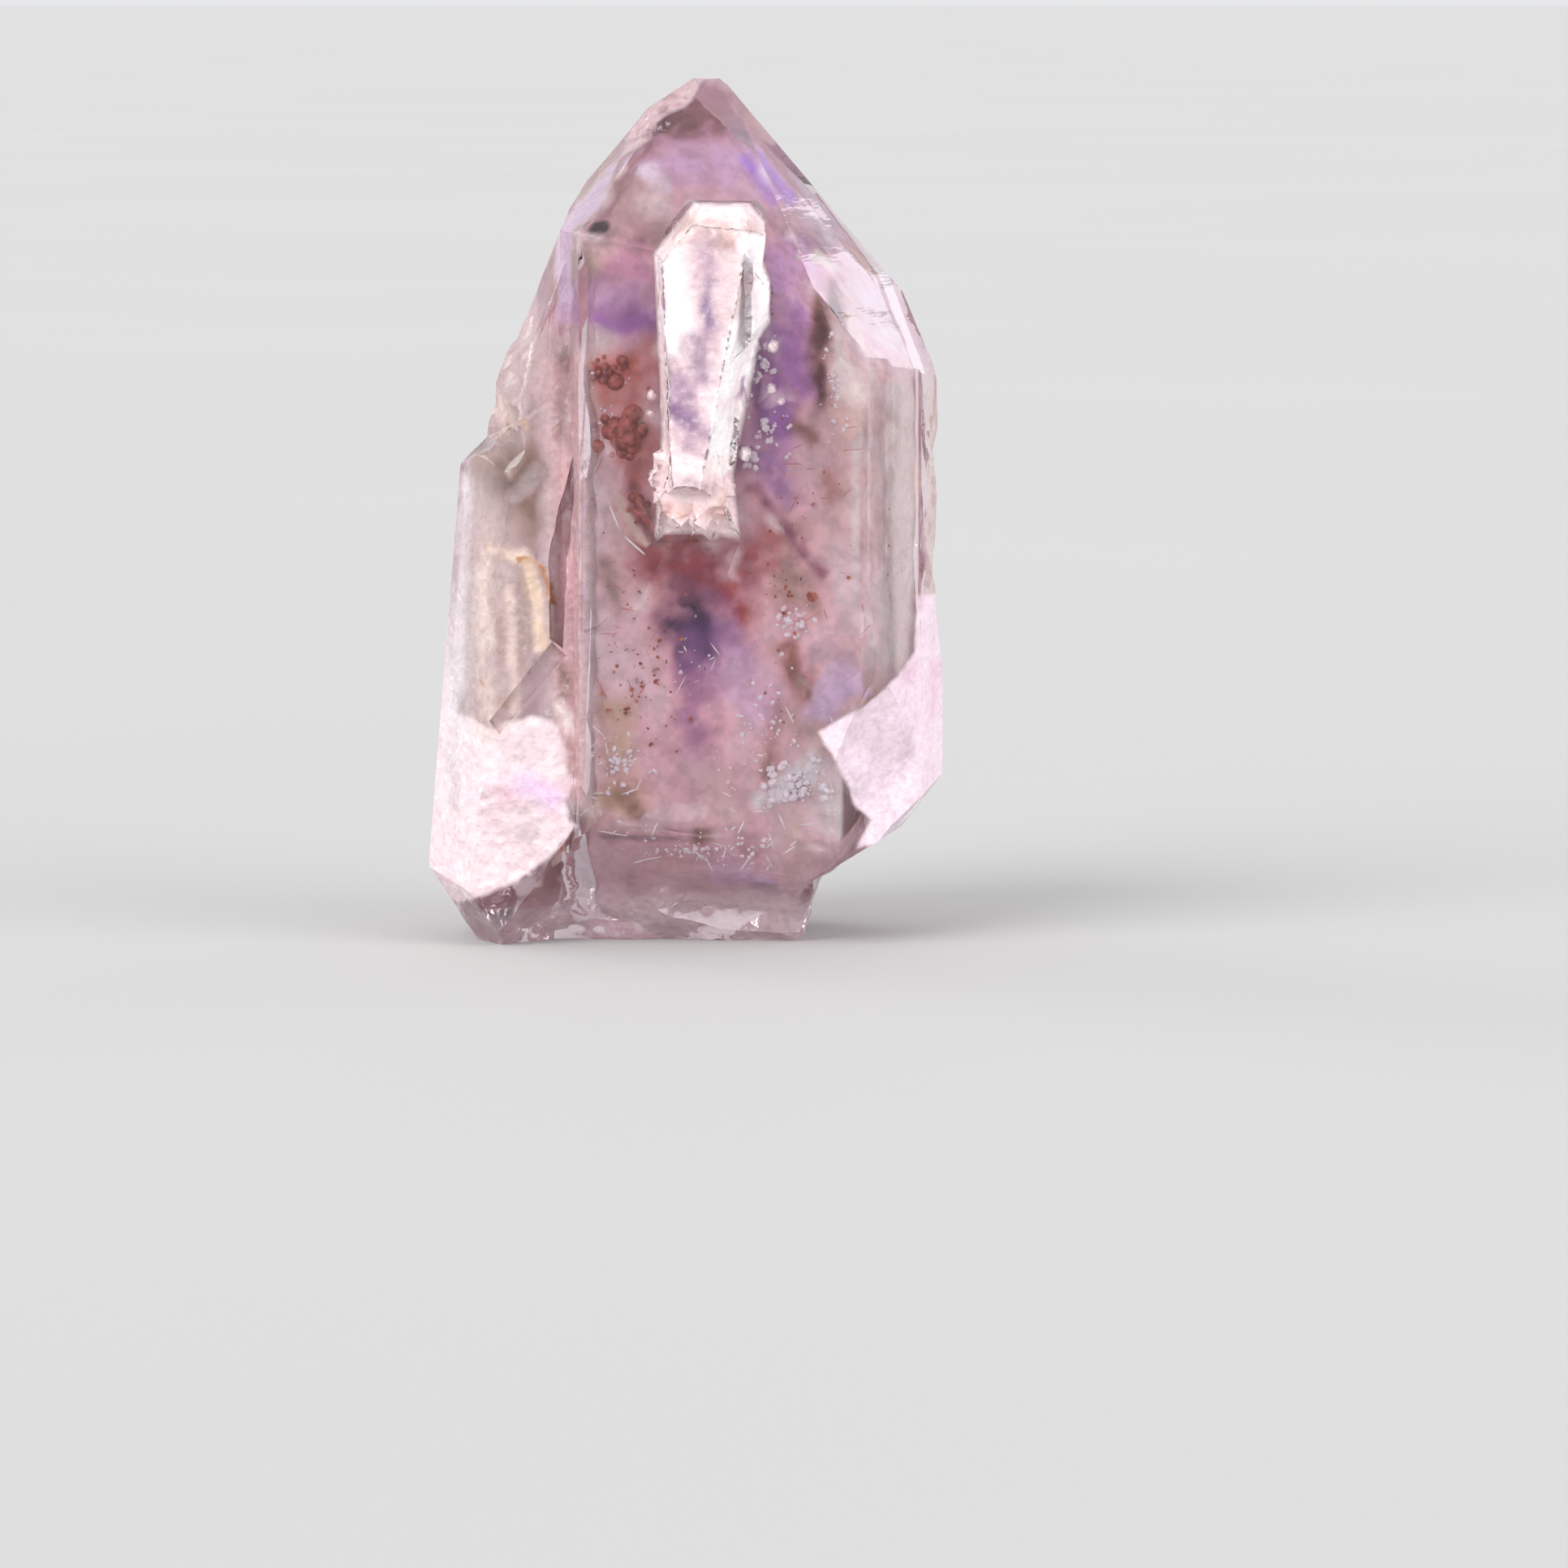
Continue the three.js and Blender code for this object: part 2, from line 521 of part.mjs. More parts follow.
function tidyPass(points, triangles) {
  const around = new Map();
  const byEdge = new Map();
  triangles.forEach((triangle, index) => {
    triangle.forEach((vertex, i) => {
      around.set(vertex, [...(around.get(vertex) ?? []), index]);
      const key = edgeKey(vertex, triangle[(i + 1) % 3]);
      byEdge.set(key, [...(byEdge.get(key) ?? []), index]);
    });
  });
  const neighbours = (vertex) => new Set(around.get(vertex).flatMap((index) => triangles[index]));
  const busy = new Set();
  const gone = new Set();
  const moved = new Map();
  const flipped = new Map();
  const isFree = (vertices) => vertices.every((vertex) => !busy.has(vertex));
  const claim = (vertices) => vertices.forEach((vertex) => busy.add(vertex));

  const collapse = (keep, drop) => {
    const shared = [...neighbours(keep)].filter((vertex) => neighbours(drop).has(vertex));
    const touched = [...neighbours(keep), ...neighbours(drop)];
    if (shared.length !== 4 || !isFree(touched)) return;
    claim(touched);
    moved.set(drop, keep);
    byEdge.get(edgeKey(keep, drop)).forEach((index) => gone.add(index));
  };
  const normalOf = (triangle) =>
    new THREE.Triangle(...triangle.map((vertex) => points[vertex])).getNormal(new THREE.Vector3());
  const flip = (a, b, isThin) => {
    const pair = byEdge.get(edgeKey(a, b));
    const [c, d] = pair.map((index) => triangles[index].find((vertex) => vertex !== a && vertex !== b));
    if (byEdge.has(edgeKey(c, d)) || !isFree([a, b, c, d])) return;
    const first = triangles[pair[0]];
    const [from, to] = first[(first.indexOf(a) + 1) % 3] === b ? [a, b] : [b, a];
    const turned = [[from, d, c], [d, to, c]];
    if (!isThin) {
      const normals = [...pair.map((index) => triangles[index]), ...turned].map(normalOf);
      const flat = normals.every((normal) => normal.dot(normals[0]) > SAME_PLANE);
      if (!flat || points[c].distanceTo(points[d]) > 0.98 * points[a].distanceTo(points[b])) return;
    }
    claim([a, b, c, d]);
    pair.forEach((index, i) => flipped.set(index, turned[i]));
  };

  triangles.forEach(([a, b, c]) => {
    const edges = [[a, b], [b, c], [c, a]].map(([p, q]) => ({ p, q, size: points[p].distanceTo(points[q]) }));
    edges.sort((one, other) => one.size - other.size);
    const area = new THREE.Triangle(points[a], points[b], points[c]).getArea();
    if (edges[0].size < SHORT_EDGE) collapse(edges[0].p, edges[0].q);
    else flip(edges[2].p, edges[2].q, (2 * area) / edges[2].size < THIN);
  });
  if (moved.size === 0 && flipped.size === 0) return triangles;
  return triangles
    .map((triangle, index) => flipped.get(index) ?? triangle)
    .filter((_, index) => !gone.has(index))
    .map((triangle) => triangle.map((vertex) => moved.get(vertex) ?? vertex));
}

function surfaceOf(solid) {
  const { vertProperties, triVerts } = solid.getMesh();
  const points = [];
  for (let i = 0; i < vertProperties.length; i += 3) {
    points.push(new THREE.Vector3(...vertProperties.slice(i, i + 3)));
  }
  const triangles = [];
  for (let i = 0; i < triVerts.length; i += 3) triangles.push([...triVerts.slice(i, i + 3)]);
  const clean = tidied(points, triangles);
  const fine = tidied(points, splitLongEdges(points, clean));
  return geometryOf(points.map(roughened), fine.flat());
}

const crystal = surfaceOf(roughBody());
crystal.computeBoundingBox();
const middle = crystal.boundingBox.getCenter(new THREE.Vector3());
crystal.translate(-middle.x, -middle.y, -crystal.boundingBox.min.z);
crystal.computeVertexNormals();

const quartz = new THREE.MeshStandardMaterial({ color: 0xb79cab, roughness: 0.25, metalness: 0 });
const body = new THREE.Mesh(crystal, quartz);
body.name = "amethyst_crystal";

const group = new THREE.Group();
group.add(body);

export default group;
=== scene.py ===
import itertools
from math import copysign, cos, radians, sin

import bmesh
import bpy
import numpy as np
from mathutils import Matrix, Vector
from mathutils.bvhtree import BVHTree
from mathutils.kdtree import KDTree


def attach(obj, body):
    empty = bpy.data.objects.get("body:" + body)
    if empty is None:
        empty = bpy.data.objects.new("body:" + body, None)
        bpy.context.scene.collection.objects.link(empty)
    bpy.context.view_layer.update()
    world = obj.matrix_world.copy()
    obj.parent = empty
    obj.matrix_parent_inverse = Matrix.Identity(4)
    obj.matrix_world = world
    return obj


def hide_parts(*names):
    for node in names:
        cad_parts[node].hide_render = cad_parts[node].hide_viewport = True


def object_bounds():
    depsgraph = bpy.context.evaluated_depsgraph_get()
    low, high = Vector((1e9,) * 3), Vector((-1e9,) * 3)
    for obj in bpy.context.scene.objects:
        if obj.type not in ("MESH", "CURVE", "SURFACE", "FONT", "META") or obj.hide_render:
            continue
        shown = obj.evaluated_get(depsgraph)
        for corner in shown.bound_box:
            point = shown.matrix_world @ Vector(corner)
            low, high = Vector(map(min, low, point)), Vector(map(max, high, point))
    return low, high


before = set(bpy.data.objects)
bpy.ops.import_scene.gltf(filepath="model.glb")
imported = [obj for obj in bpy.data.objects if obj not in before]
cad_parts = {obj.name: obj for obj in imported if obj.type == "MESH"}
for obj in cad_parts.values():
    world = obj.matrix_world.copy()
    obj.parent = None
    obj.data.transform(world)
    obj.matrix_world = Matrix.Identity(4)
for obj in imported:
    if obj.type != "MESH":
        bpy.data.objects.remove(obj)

CAD_LOW, CAD_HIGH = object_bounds()
NODE = "amethyst_crystal"
MM = 0.001
BOX_LOW, BOX_HIGH = np.array(CAD_LOW) / MM, np.array(CAD_HIGH) / MM

# The camera's distance, height angle, lens and aim, in metres, degrees and millimetres.
CAMERA_TARGET = Vector((0, 0, 0.0176))
CAMERA_DISTANCE = 0.340
CAMERA_ELEVATION = 3.5
CAMERA_LENS = 190.0
AIM_RIGHT = 0.68
AIM_DOWN = 1.909

# Display colours from 0 to 255.
CLEAR_PINK = (236, 160, 168)
MAUVE = (210, 146, 160)
TAN = (222, 168, 154)
PALE_LILAC = (220, 198, 226)
HEMATITE = (152, 70, 62)
RED_BROWN = (140, 84, 80)
SMOKE = (104, 86, 84)
OCHRE = (190, 136, 80)
CREAM = (226, 208, 186)
WHITE = (238, 222, 226)
SHADOW = (44, 38, 42)
FROST_WHITE = (240, 228, 230)

# The least divisor.
LEAST = 1e-9

# How much diffuse light passes out through the quartz's surface, and how much is turned back inside.
LET_OUT = 0.30
TURNED_BACK = 0.6


def tone(colour):
    """A display colour as linear values."""
    shares = np.array(colour) / 255
    return np.where(shares <= 0.04045, shares / 12.92, ((shares + 0.055) / 1.055) ** 2.4)


def shown_through(colour):
    """The linear colour that something inside the quartz needs so that it shows outside as the given one."""
    return np.minimum(colour / (LET_OUT + TURNED_BACK * colour), 0.97)


# Noise

def hashed(cells, seed):
    """A number from 0 to 1 for each cell, the same on every run."""
    wave = np.sin(cells @ np.array([127.1, 311.7, 74.7]) + seed * 53.3) * 43758.5453
    return wave - np.floor(wave)


def smooth_noise(points, size, seed=0):
    """Noise from -1 to 1 whose lumps are about size across."""
    place = points / size
    cell = np.floor(place)
    part = place - cell
    ease = part * part * (3 - 2 * part)
    total = np.zeros(len(points))
    for corner in itertools.product((0, 1), repeat=3):
        share = np.prod(np.where(corner, ease, 1 - ease), axis=1)
        total += share * hashed(cell + corner, seed)
    return 2 * total - 1


def fractal(points, size, octaves=3, seed=0):
    """Noise from about -1 to 1 with ever finer lumps."""
    total = sum(smooth_noise(points, size / 2**i, seed + 11 * i) / 2**i for i in range(octaves))
    return total / (2 - 2 ** (1 - octaves))


def shifts(points, size, octaves, seed, count=3):
    """Such noise in each of count directions."""
    return np.column_stack([fractal(points, size, octaves, seed + k) for k in range(count)])


def cell_distance(points, size, seed=0):
    """How far each point is from the nearest of scattered centres, as a share of size."""
    place = points / size
    cell = np.floor(place)
    best = np.full(len(points), 9.0)
    for step in itertools.product((-1, 0, 1), repeat=3):
        near = cell + step
        centre = near + np.stack([hashed(near, seed + k) for k in range(3)], axis=1)
        best = np.minimum(best, np.linalg.norm(place - centre, axis=1))
    return best


def within(points, at, reach, soft=0.6):
    """1 in the middle of an ellipsoid, falling to 0 over the outer share soft of its reach."""
    away = np.linalg.norm((points - at) / reach, axis=1)
    return ramp(1 - away, 0, soft)


def ramp(values, low, high):
    """0 up to low, 1 from high on and soft in between."""
    share = np.clip((values - low) / (high - low), 0, 1)
    return share * share * (3 - 2 * share)


def blended(base, share, goal):
    """A colour, or one for each point, moved toward a goal by the share at each point."""
    return base + share[:, None] * (goal - base)


# Meshes as arrays, in millimetres

def arrays_of(mesh):
    """The points in millimetres and the triangles of a mesh, with split points merged."""
    points = np.zeros(len(mesh.vertices) * 3)
    mesh.vertices.foreach_get("co", points)
    points = points.reshape(-1, 3) / MM
    mesh.calc_loop_triangles()
    triangles = np.zeros(len(mesh.loop_triangles) * 3, int)
    mesh.loop_triangles.foreach_get("vertices", triangles)
    _, first, merged = np.unique(np.round(points, 4), axis=0, return_index=True, return_inverse=True)
    triangles = merged.reshape(-1)[triangles.reshape(-1, 3)]
    different = (triangles != np.roll(triangles, 1, axis=1)).all(axis=1)
    return points[first], triangles[different]


def edge_keys(start, end, count):
    return np.minimum(start, end) * count + np.maximum(start, end)


def refined(points, triangles, limit_of):
    """Halves long edges until each is as short as limit_of says for its middle."""
    for _ in range(40):
        corners = points[triangles]
        lengths = np.linalg.norm(corners - np.roll(corners, -1, axis=1), axis=2)
        longest = lengths.argmax(axis=1)
        row = np.arange(len(triangles))
        start, end = triangles[row, longest], triangles[row, (longest + 1) % 3]
        middles = (points[start] + points[end]) / 2
        long = lengths[row, longest] > limit_of(middles)
        if not long.any():
            break
        count = len(points) * 8
        keys, first = np.unique(edge_keys(start[long], end[long], count), return_index=True)
        new = len(points) + np.arange(len(keys))
        points = np.vstack([points, middles[long][first]])
        triangles = split_along(triangles, keys, new, count)
    return points, triangles


def split_along(triangles, keys, new, count):
    """Splits each triangle at the new points on its edges."""
    idle = 0
    while idle < 3:
        triangles = np.roll(triangles, -min(idle, 1), axis=1)
        key = edge_keys(triangles[:, 0], triangles[:, 1], count)
        place = np.clip(np.searchsorted(keys, key), 0, len(keys) - 1)
        hit = keys[place] == key
        middle = new[place[hit]]
        a, b, c = triangles[hit].T
        halves = [np.stack([a, middle, c], axis=1), np.stack([middle, b, c], axis=1)]
        triangles = np.vstack([triangles[~hit], *halves])
        idle = 0 if hit.any() else idle + 1
    return triangles


def face_normals(points, triangles):
    """Each triangle's normal, as long as twice its area."""
    corners = points[triangles]
    return np.cross(corners[:, 1] - corners[:, 0], corners[:, 2] - corners[:, 0])


def unit(rows):
    return rows / np.maximum(np.linalg.norm(rows, axis=1, keepdims=True), LEAST)


def normals_of(points, triangles):
    """A unit normal at each point."""
    across = face_normals(points, triangles)
    total = np.zeros_like(points)
    for k in range(3):
        np.add.at(total, triangles[:, k], across)
    return unit(total)


def taken_from(shape):
    """The points and triangles of a bmesh, which is then freed."""
    shape.verts.index_update()
    points = np.array([vertex.co for vertex in shape.verts])
    triangles = np.array([[vertex.index for vertex in face.verts] for face in shape.faces])
    shape.free()
    return points, triangles


def kept_faces(triangles, values, least):
    """The triangles with a corner above the least value, and the corners they use."""
    kept = triangles[values[triangles].max(axis=1) > least]
    used, kept = np.unique(kept, return_inverse=True)
    return used, kept.reshape(-1, 3)


def placed(name, data):
    """A new object in the scene."""
    item = bpy.data.objects.new(name, data)
    bpy.context.scene.collection.objects.link(item)
    return item


def piece_from(name, points, triangles, material, sharp=None, moved=None, colours=None):
    """A mesh object that rides on the crystal. Creases come from points, places from moved."""
    mesh = bpy.data.meshes.new(name)
    mesh.from_pydata(points * MM, [], triangles.tolist())
    mesh.polygons.foreach_set("use_smooth", np.ones(len(triangles), bool))
    if sharp is not None:
        mesh.set_sharp_from_angle(angle=radians(sharp))
    if moved is not None:
        mesh.vertices.foreach_set("co", (moved * MM).ravel())
    for label, values in (colours or {}).items():
        attribute = mesh.attributes.new(label, "FLOAT_COLOR", "POINT")
        attribute.data.foreach_set("color", np.ascontiguousarray(values, np.float32).ravel())
    mesh.update()
    mesh.materials.append(material)
    piece = placed(name, mesh)
    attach(piece, "root")
    return piece


# Materials

class Nodes:
    """A material's node tree, with short ways to add and link nodes."""

    def __init__(self, name):
        self.material = bpy.data.materials.new(name)
        self.material.use_nodes = True
        self.tree = self.material.node_tree
        self.tree.nodes.clear()
        self.output = self.tree.nodes.new("ShaderNodeOutputMaterial")

    def fill(self, socket, value):
        """Links a socket to another one, or sets it to a colour or a plain value."""
        if isinstance(value, bpy.types.NodeSocket):
            self.tree.links.new(value, socket)
        elif isinstance(value, np.ndarray):
            socket.default_value = (*value, 1)
        else:
            socket.default_value = value

    def add(self, kind, settings=None, **sockets):
        """A new node. An underscore in a socket's name stands for a space."""
        node = self.tree.nodes.new("ShaderNode" + kind)
        for name, value in (settings or {}).items():
            setattr(node, name, value)
        for name, value in sockets.items():
            self.fill(node.inputs[name.replace("_", " ")], value)
        return node

    def place(self):
        """The crystal's own space."""
        return self.add("TexCoord").outputs["Object"]

    def painted(self, label):
        """The colour and cover that the mesh holds under a label."""
        attribute = self.add("Attribute", {"attribute_name": label})
        return attribute.outputs["Color"], attribute.outputs["Alpha"]

    def noise(self, scale, detail, roughness=0.55, stretch=(1, 1, 1)):
        """Noise in the crystal's own space. scale is in lumps a metre."""
        place = self.add("Mapping", Vector=self.place(), Scale=stretch).outputs["Vector"]
        texture = self.add("TexNoise", Vector=place, Scale=scale, Detail=detail, Roughness=roughness)
        return texture.outputs["Fac"]

    def spread(self, value, low, high, to_low=0.0, to_high=1.0):
        """Maps a value from low..high to to_low..to_high, softly and held at the ends."""
        node = self.add("MapRange", {"interpolation_type": "SMOOTHSTEP"}, Value=value,
                        From_Min=low, From_Max=high, To_Min=to_low, To_Max=to_high)
        return node.outputs["Result"]

    def times(self, first, second):
        """The product of two values, held from 0 to 1."""
        node = self.add("Math", {"operation": "MULTIPLY", "use_clamp": True})
        for socket, value in zip(node.inputs, (first, second)):
            self.fill(socket, value)
        return node.outputs["Value"]

    def mix(self, share, first, second):
        """A colour from first to second by share."""
        node = self.add("Mix", {"data_type": "RGBA"}, Factor=share)
        colours = [socket for socket in node.inputs if socket.type == "RGBA"]
        for socket, value in zip(colours, (first, second)):
            self.fill(socket, value)
        return next(socket for socket in node.outputs if socket.type == "RGBA")

    def bump(self, height, distance, strength, below=None):
        """A normal bent by height, on top of the normal below."""
        node = self.add("Bump", Strength=strength, Distance=distance, Height=height)
        if below is not None:
            self.fill(node.inputs["Normal"], below)
        return node.outputs["Normal"]

    def principled(self, **sockets):
        shader = self.add("BsdfPrincipled", **sockets)
        self.fill(self.output.inputs["Surface"], shader.outputs["BSDF"])


def quartz_material():
    """Clear quartz with faint growth lines across its faces and a pink tint through its depth."""
    nodes = Nodes("quartz")
    lines = nodes.noise(900, 3, 0.6, (0.35, 0.35, 2.6))
    hillocks = nodes.noise(420, 2, 0.5)
    normal = nodes.bump(lines, 0.00003, 0.12)
    normal = nodes.bump(hillocks, 0.0002, 0.07, normal)
    nodes.principled(
        Base_Color=tone((250, 243, 248)),
        Roughness=nodes.spread(hillocks, 0.4, 0.75, 0.005, 0.08),
        IOR=1.544,
        Transmission_Weight=1.0,
        Normal=normal,
    )
    absorption = nodes.add("VolumeAbsorption", Color=tone((234, 198, 208)), Density=30.0)
    nodes.fill(nodes.output.inputs["Volume"], absorption.outputs["Volume"])
    return nodes.material


def skin_material():
    """Frosted and etched quartz: its colour and how thickly it covers come with the mesh."""
    nodes = Nodes("frost")
    colour, cover = nodes.painted("frost")
    sugar = nodes.noise(3000, 4, 0.65)
    facets = nodes.add("TexVoronoi", {"distance": "CHEBYCHEV"}, Vector=nodes.place(), Scale=2400)
    normal = nodes.bump(facets.outputs["Distance"], 0.00012, 0.5)
    nodes.principled(
        Base_Color=nodes.mix(nodes.spread(sugar, 0.5, 0.8, 0.0, 0.55), colour, tone(FROST_WHITE)),
        Roughness=nodes.spread(sugar, 0.3, 0.7, 0.5, 0.2),
        Alpha=nodes.times(cover, nodes.spread(sugar, 0.3, 0.6, 0.88, 1.08)),
        Normal=nodes.bump(sugar, 0.00006, 0.5, normal),
    )
    return nodes.material


def core_material(name):
    """The innermost cloudy quartz, which lets nothing through. Its colour comes with the mesh."""
    nodes = Nodes(name)
    colour, _ = nodes.painted("haze")
    nodes.principled(Base_Color=colour, Roughness=0.9, Specular_IOR_Level=0.0)
    return nodes.material


def haze_material(name, scale, low=0.34, high=0.62):
    """A cloudy growth layer inside the quartz. Its colour and thickness come with the mesh."""
    nodes = Nodes(name)
    colour, cover = nodes.painted("haze")
    cloud = nodes.spread(nodes.noise(scale, 2, 0.6), low, high, 0.86, 1.10)
    alpha = nodes.times(cover, cloud)
    nodes.principled(Base_Color=colour, Roughness=0.9, Specular_IOR_Level=0.0, Alpha=alpha)
    return nodes.material


def grain_material(name, colour, deep, scale, roughness):
    """An opaque grain with a mottled colour."""
    nodes = Nodes(name)
    mottle = nodes.noise(scale, 3, 0.6)
    colours = [shown_through(tone(shade)) for shade in (deep, colour)]
    nodes.principled(
        Base_Color=nodes.mix(nodes.spread(mottle, 0.35, 0.65), *colours),
        Roughness=roughness,
        Normal=nodes.bump(mottle, 0.00004, 0.6),
    )
    return nodes.material


# The outside. Where it is broken, etched or sugary: middle, reach and how rough it is, in millimetres.
ROUGH_ZONES = [
    ((-0.9, -1.6, 33.7), (2.3, 2.6, 1.9), 0.17),
    ((-7.3, -2, 22.6), (2.7, 6, 4.4), 0.1),
    ((0.2, -6.9, 18.5), (2.4, 1.7, 2.1), 0.1),
    ((8.6, -4.4, 7.5), (3.6, 3.8, 4.2), 0.11),
    ((-7.6, -4.2, 5.4), (3.9, 3.4, 5.4), 0.13),
    ((10.1, -1.4, 17.2), (0.9, 2.4, 6), 0.08),
    ((-5.3, -5.3, 16), (1.2, 1.4, 4.8), 0.08),
    ((0, 0, 0), (14, 10, 5), 0.1),
    ((0, 7, 5), (7.5, 2.5, 4), 0.08),
]
# The boxes that hold the small crystal and the feet of the two left grains, by two corners each, the
# front face's y, and how far the surface stays inside the solid's own box.
SMALL_CRYSTAL = [(-1.9, -9, 16.9), (3.9, -5.93, 30.6)]
GRAIN_FEET = [(-1.85, -5.95, 21.4), (-1.25, -5.6, 22.95)]
FRONT_LEVEL = -5.764
MARGIN = 0.03

# The left crystal's front, by middle and reach, and the longest edge of the mesh in each region.
LEFT_FRONT = ((-7.4, -4.8, 15.5), (2.6, 1.4, 8.5))
PLAIN_EDGE, ROUGH_EDGE, FINE_EDGE, RIM_EDGE = 0.75, 0.27, 0.24, 0.17
LEAST_ROUGH = 0.03
RIM_REACH = 0.35


def roughness_at(points):
    return np.max([rough * within(points, at, reach) for at, reach, rough in ROUGH_ZONES], axis=0)


def in_box(points, box):
    low, high = np.array(box)
    return (points > low).all(axis=1) & (points < high).all(axis=1)


def surface_limit(points):
    """How long an edge of the outside may be, by where its middle lies."""
    fine = in_box(points, SMALL_CRYSTAL) | (within(points, *LEFT_FRONT) > 0)
    limit = np.where(fine, FINE_EDGE, PLAIN_EDGE)
    limit[roughness_at(points) > LEAST_ROUGH] = ROUGH_EDGE
    front = np.flatnonzero(points[:, 1] < 0)
    rim = np.min([from_outline(points[front][:, [0, 2]], patch[0]) for patch in PATCHES], axis=0)
    limit[front[rim < RIM_REACH]] = RIM_EDGE
    return limit


def weathered(points, normals):
    """The outside with its growth lines, hillocks, etch pits and sugary breaks."""
    rough = roughness_at(points)
    small = in_box(points, SMALL_CRYSTAL)
    bent = points[:, 2] + 0.35 * fractal(points, 3.0, 2, 5)
    lines = np.sin(bent * 2.1 + 2 * fractal(points, 3.5, 2, 6))
    height = 0.004 * lines + 0.012 * fractal(points, 3.2, 2, 8)
    pits = ramp(cell_distance(points, 0.75, 3), 0.0, 0.5) - 1
    height += (0.35 * rough + 0.03 * small) * pits
    height += (0.55 * rough + 0.045 * small) * fractal(points, 0.6, 3, 14)
    height += 0.05 * small * fractal(points * [1, 1, 0.16], 0.5, 2, 17)
    height += small * (0.11 * fractal(points, 1.3, 2, 21) - 0.15)
    moved = points + normals * height[:, None]
    moved += shifts(points, 0.9, 2, 20) * (0.7 * rough)[:, None]
    level = ramp(points[:, 2], 0.0, 0.6)
    moved[:, 2] = points[:, 2] + (moved[:, 2] - points[:, 2]) * level
    return np.clip(moved, BOX_LOW + [MARGIN, MARGIN, 0], BOX_HIGH - MARGIN)


# Frosted patches on the outside: middle, reach, how soft their edge is, how thickly they cover and
# their colour.
FROST_ZONES = [
    ((-3.6, -3.6, 30.8), (1, 2.2, 1.6), 0.6, 0.4, (200, 184, 204)),
    ((-7.4, -3.2, 23.4), (2.8, 4.6, 4.2), 0.5, 0.42, (196, 168, 160)),
    ((-8.6, -3, 13), (3.7, 6, 8), 0.5, 0.5, (222, 196, 188)),
    ((-10.4, -2, 11), (1.6, 6, 11), 0.6, 0.8, (228, 212, 214)),
    ((10.2, -2, 17), (0.7, 4, 10), 0.5, 0.6, (186, 158, 142)),
    ((8.9, -3.8, 17), (0.8, 2, 9.5), 0.6, 0.45, (226, 204, 202)),
    ((0.2, -6.9, 18.3), (2.4, 1.7, 2), 0.6, 0.9, (236, 212, 210)),
    ((0, 0, 0), (13, 9, 3.4), 0.6, 0.5, (214, 178, 186)),
    ((0, 6.5, 5), (9.5, 4.5, 6.5), 0.6, 0.6, (222, 212, 220)),
]

# Broken and sugary patches with a clear outline, seen from the front: the outline as (x, z), how far back
# they reach, how soft the edge is, how thickly they cover and their colour.
RIGHT_BREAK = [
    (5.33, 8.87), (6.83, 9.8), (8.1, 10.5), (8.6, 11), (9.3, 11.9), (9.4, 14.2), (10.9, 14.2),
    (10.9, 6.3), (8.2, 4.2), (6.9, 4), (7.5, 5.1), (6.8, 5.8), (6.4, 6.8), (5.9, 8),
]
LEFT_BREAK = [
    (-11, 10), (-9.2, 9.4), (-7.8, 8.9), (-7.2, 9.2), (-6.2, 9.5), (-5.2, 9.1), (-4.85, 7.5),
    (-4.45, 6.8), (-4.85, 6), (-4.65, 5.2), (-4.45, 5), (-4.75, 4.5), (-5.2, 4.1), (-5.9, 3.4),
    (-6.9, 2.6), (-8.2, 2.1), (-9.5, 1.6), (-11, 0.6),
]
TIP_BREAK = [
    (-0.25, 35.6), (0.6, 35.5), (0.5, 34.9), (0.15, 34.2), (-0.1, 34), (-0.7, 33.8), (-1.2, 33.35),
    (-1.5, 32.85), (-2, 32.4), (-2.5, 32.1), (-2.4, 32.7), (-2.1, 33.4), (-1.8, 33.95), (-1.35, 34.5),
    (-0.7, 35.1),
]
LEFT_BEVEL = [
    (-2.4, 32.3), (-2.6, 32.1), (-3.5, 30.1), (-4.5, 29.1), (-4.6, 25.4), (-5.25, 25.3), (-5.2, 29.2),
]
LEFT_EDGE = [(-5.7, 24), (-4.2, 24.2), (-4, 5.6), (-5.6, 6.6)]
PATCHES = [
    (LEFT_EDGE, 1, 0.6, 0.86, (200, 160, 162)),
    (LEFT_BEVEL, 0.6, 0.1, 0.5, (212, 192, 222)),
    (TIP_BREAK, -1.5, 0.12, 0.84, (192, 164, 166)),
    (RIGHT_BREAK, 0.4, 0.1, 0.96, (238, 216, 228)),
    (LEFT_BREAK, 0.6, 0.14, 0.96, (236, 214, 218)),
]

# Stains on the outside: middle, reach, how strong they are and their colour.
STAIN_ZONES = [
    ((-0.9, -7, 19.6), (0.5, 1, 0.6), 0.8, HEMATITE),
    ((1.4, -6.9, 18.4), (0.45, 1, 0.5), 0.7, OCHRE),
    ((-0.4, -7.2, 17.7), (0.5, 1, 0.35), 0.7, OCHRE),
    ((-6.5, -5, 21.3), (0.6, 1.6, 0.5), 0.6, OCHRE),
    ((-7.3, -5, 10), (0.6, 1.6, 0.35), 0.6, OCHRE),
    ((-6.9, -5, 8.2), (0.7, 1.6, 0.3), 0.6, OCHRE),
    ((6.8, -6, 22.6), (0.9, 1, 1.2), 0.45, CREAM),
    ((9.4, -3, 18.8), (0.5, 1.6, 0.9), 0.5, OCHRE),
    ((8.6, -4.3, 23.9), (0.5, 1.2, 0.8), 0.5, SMOKE),
]

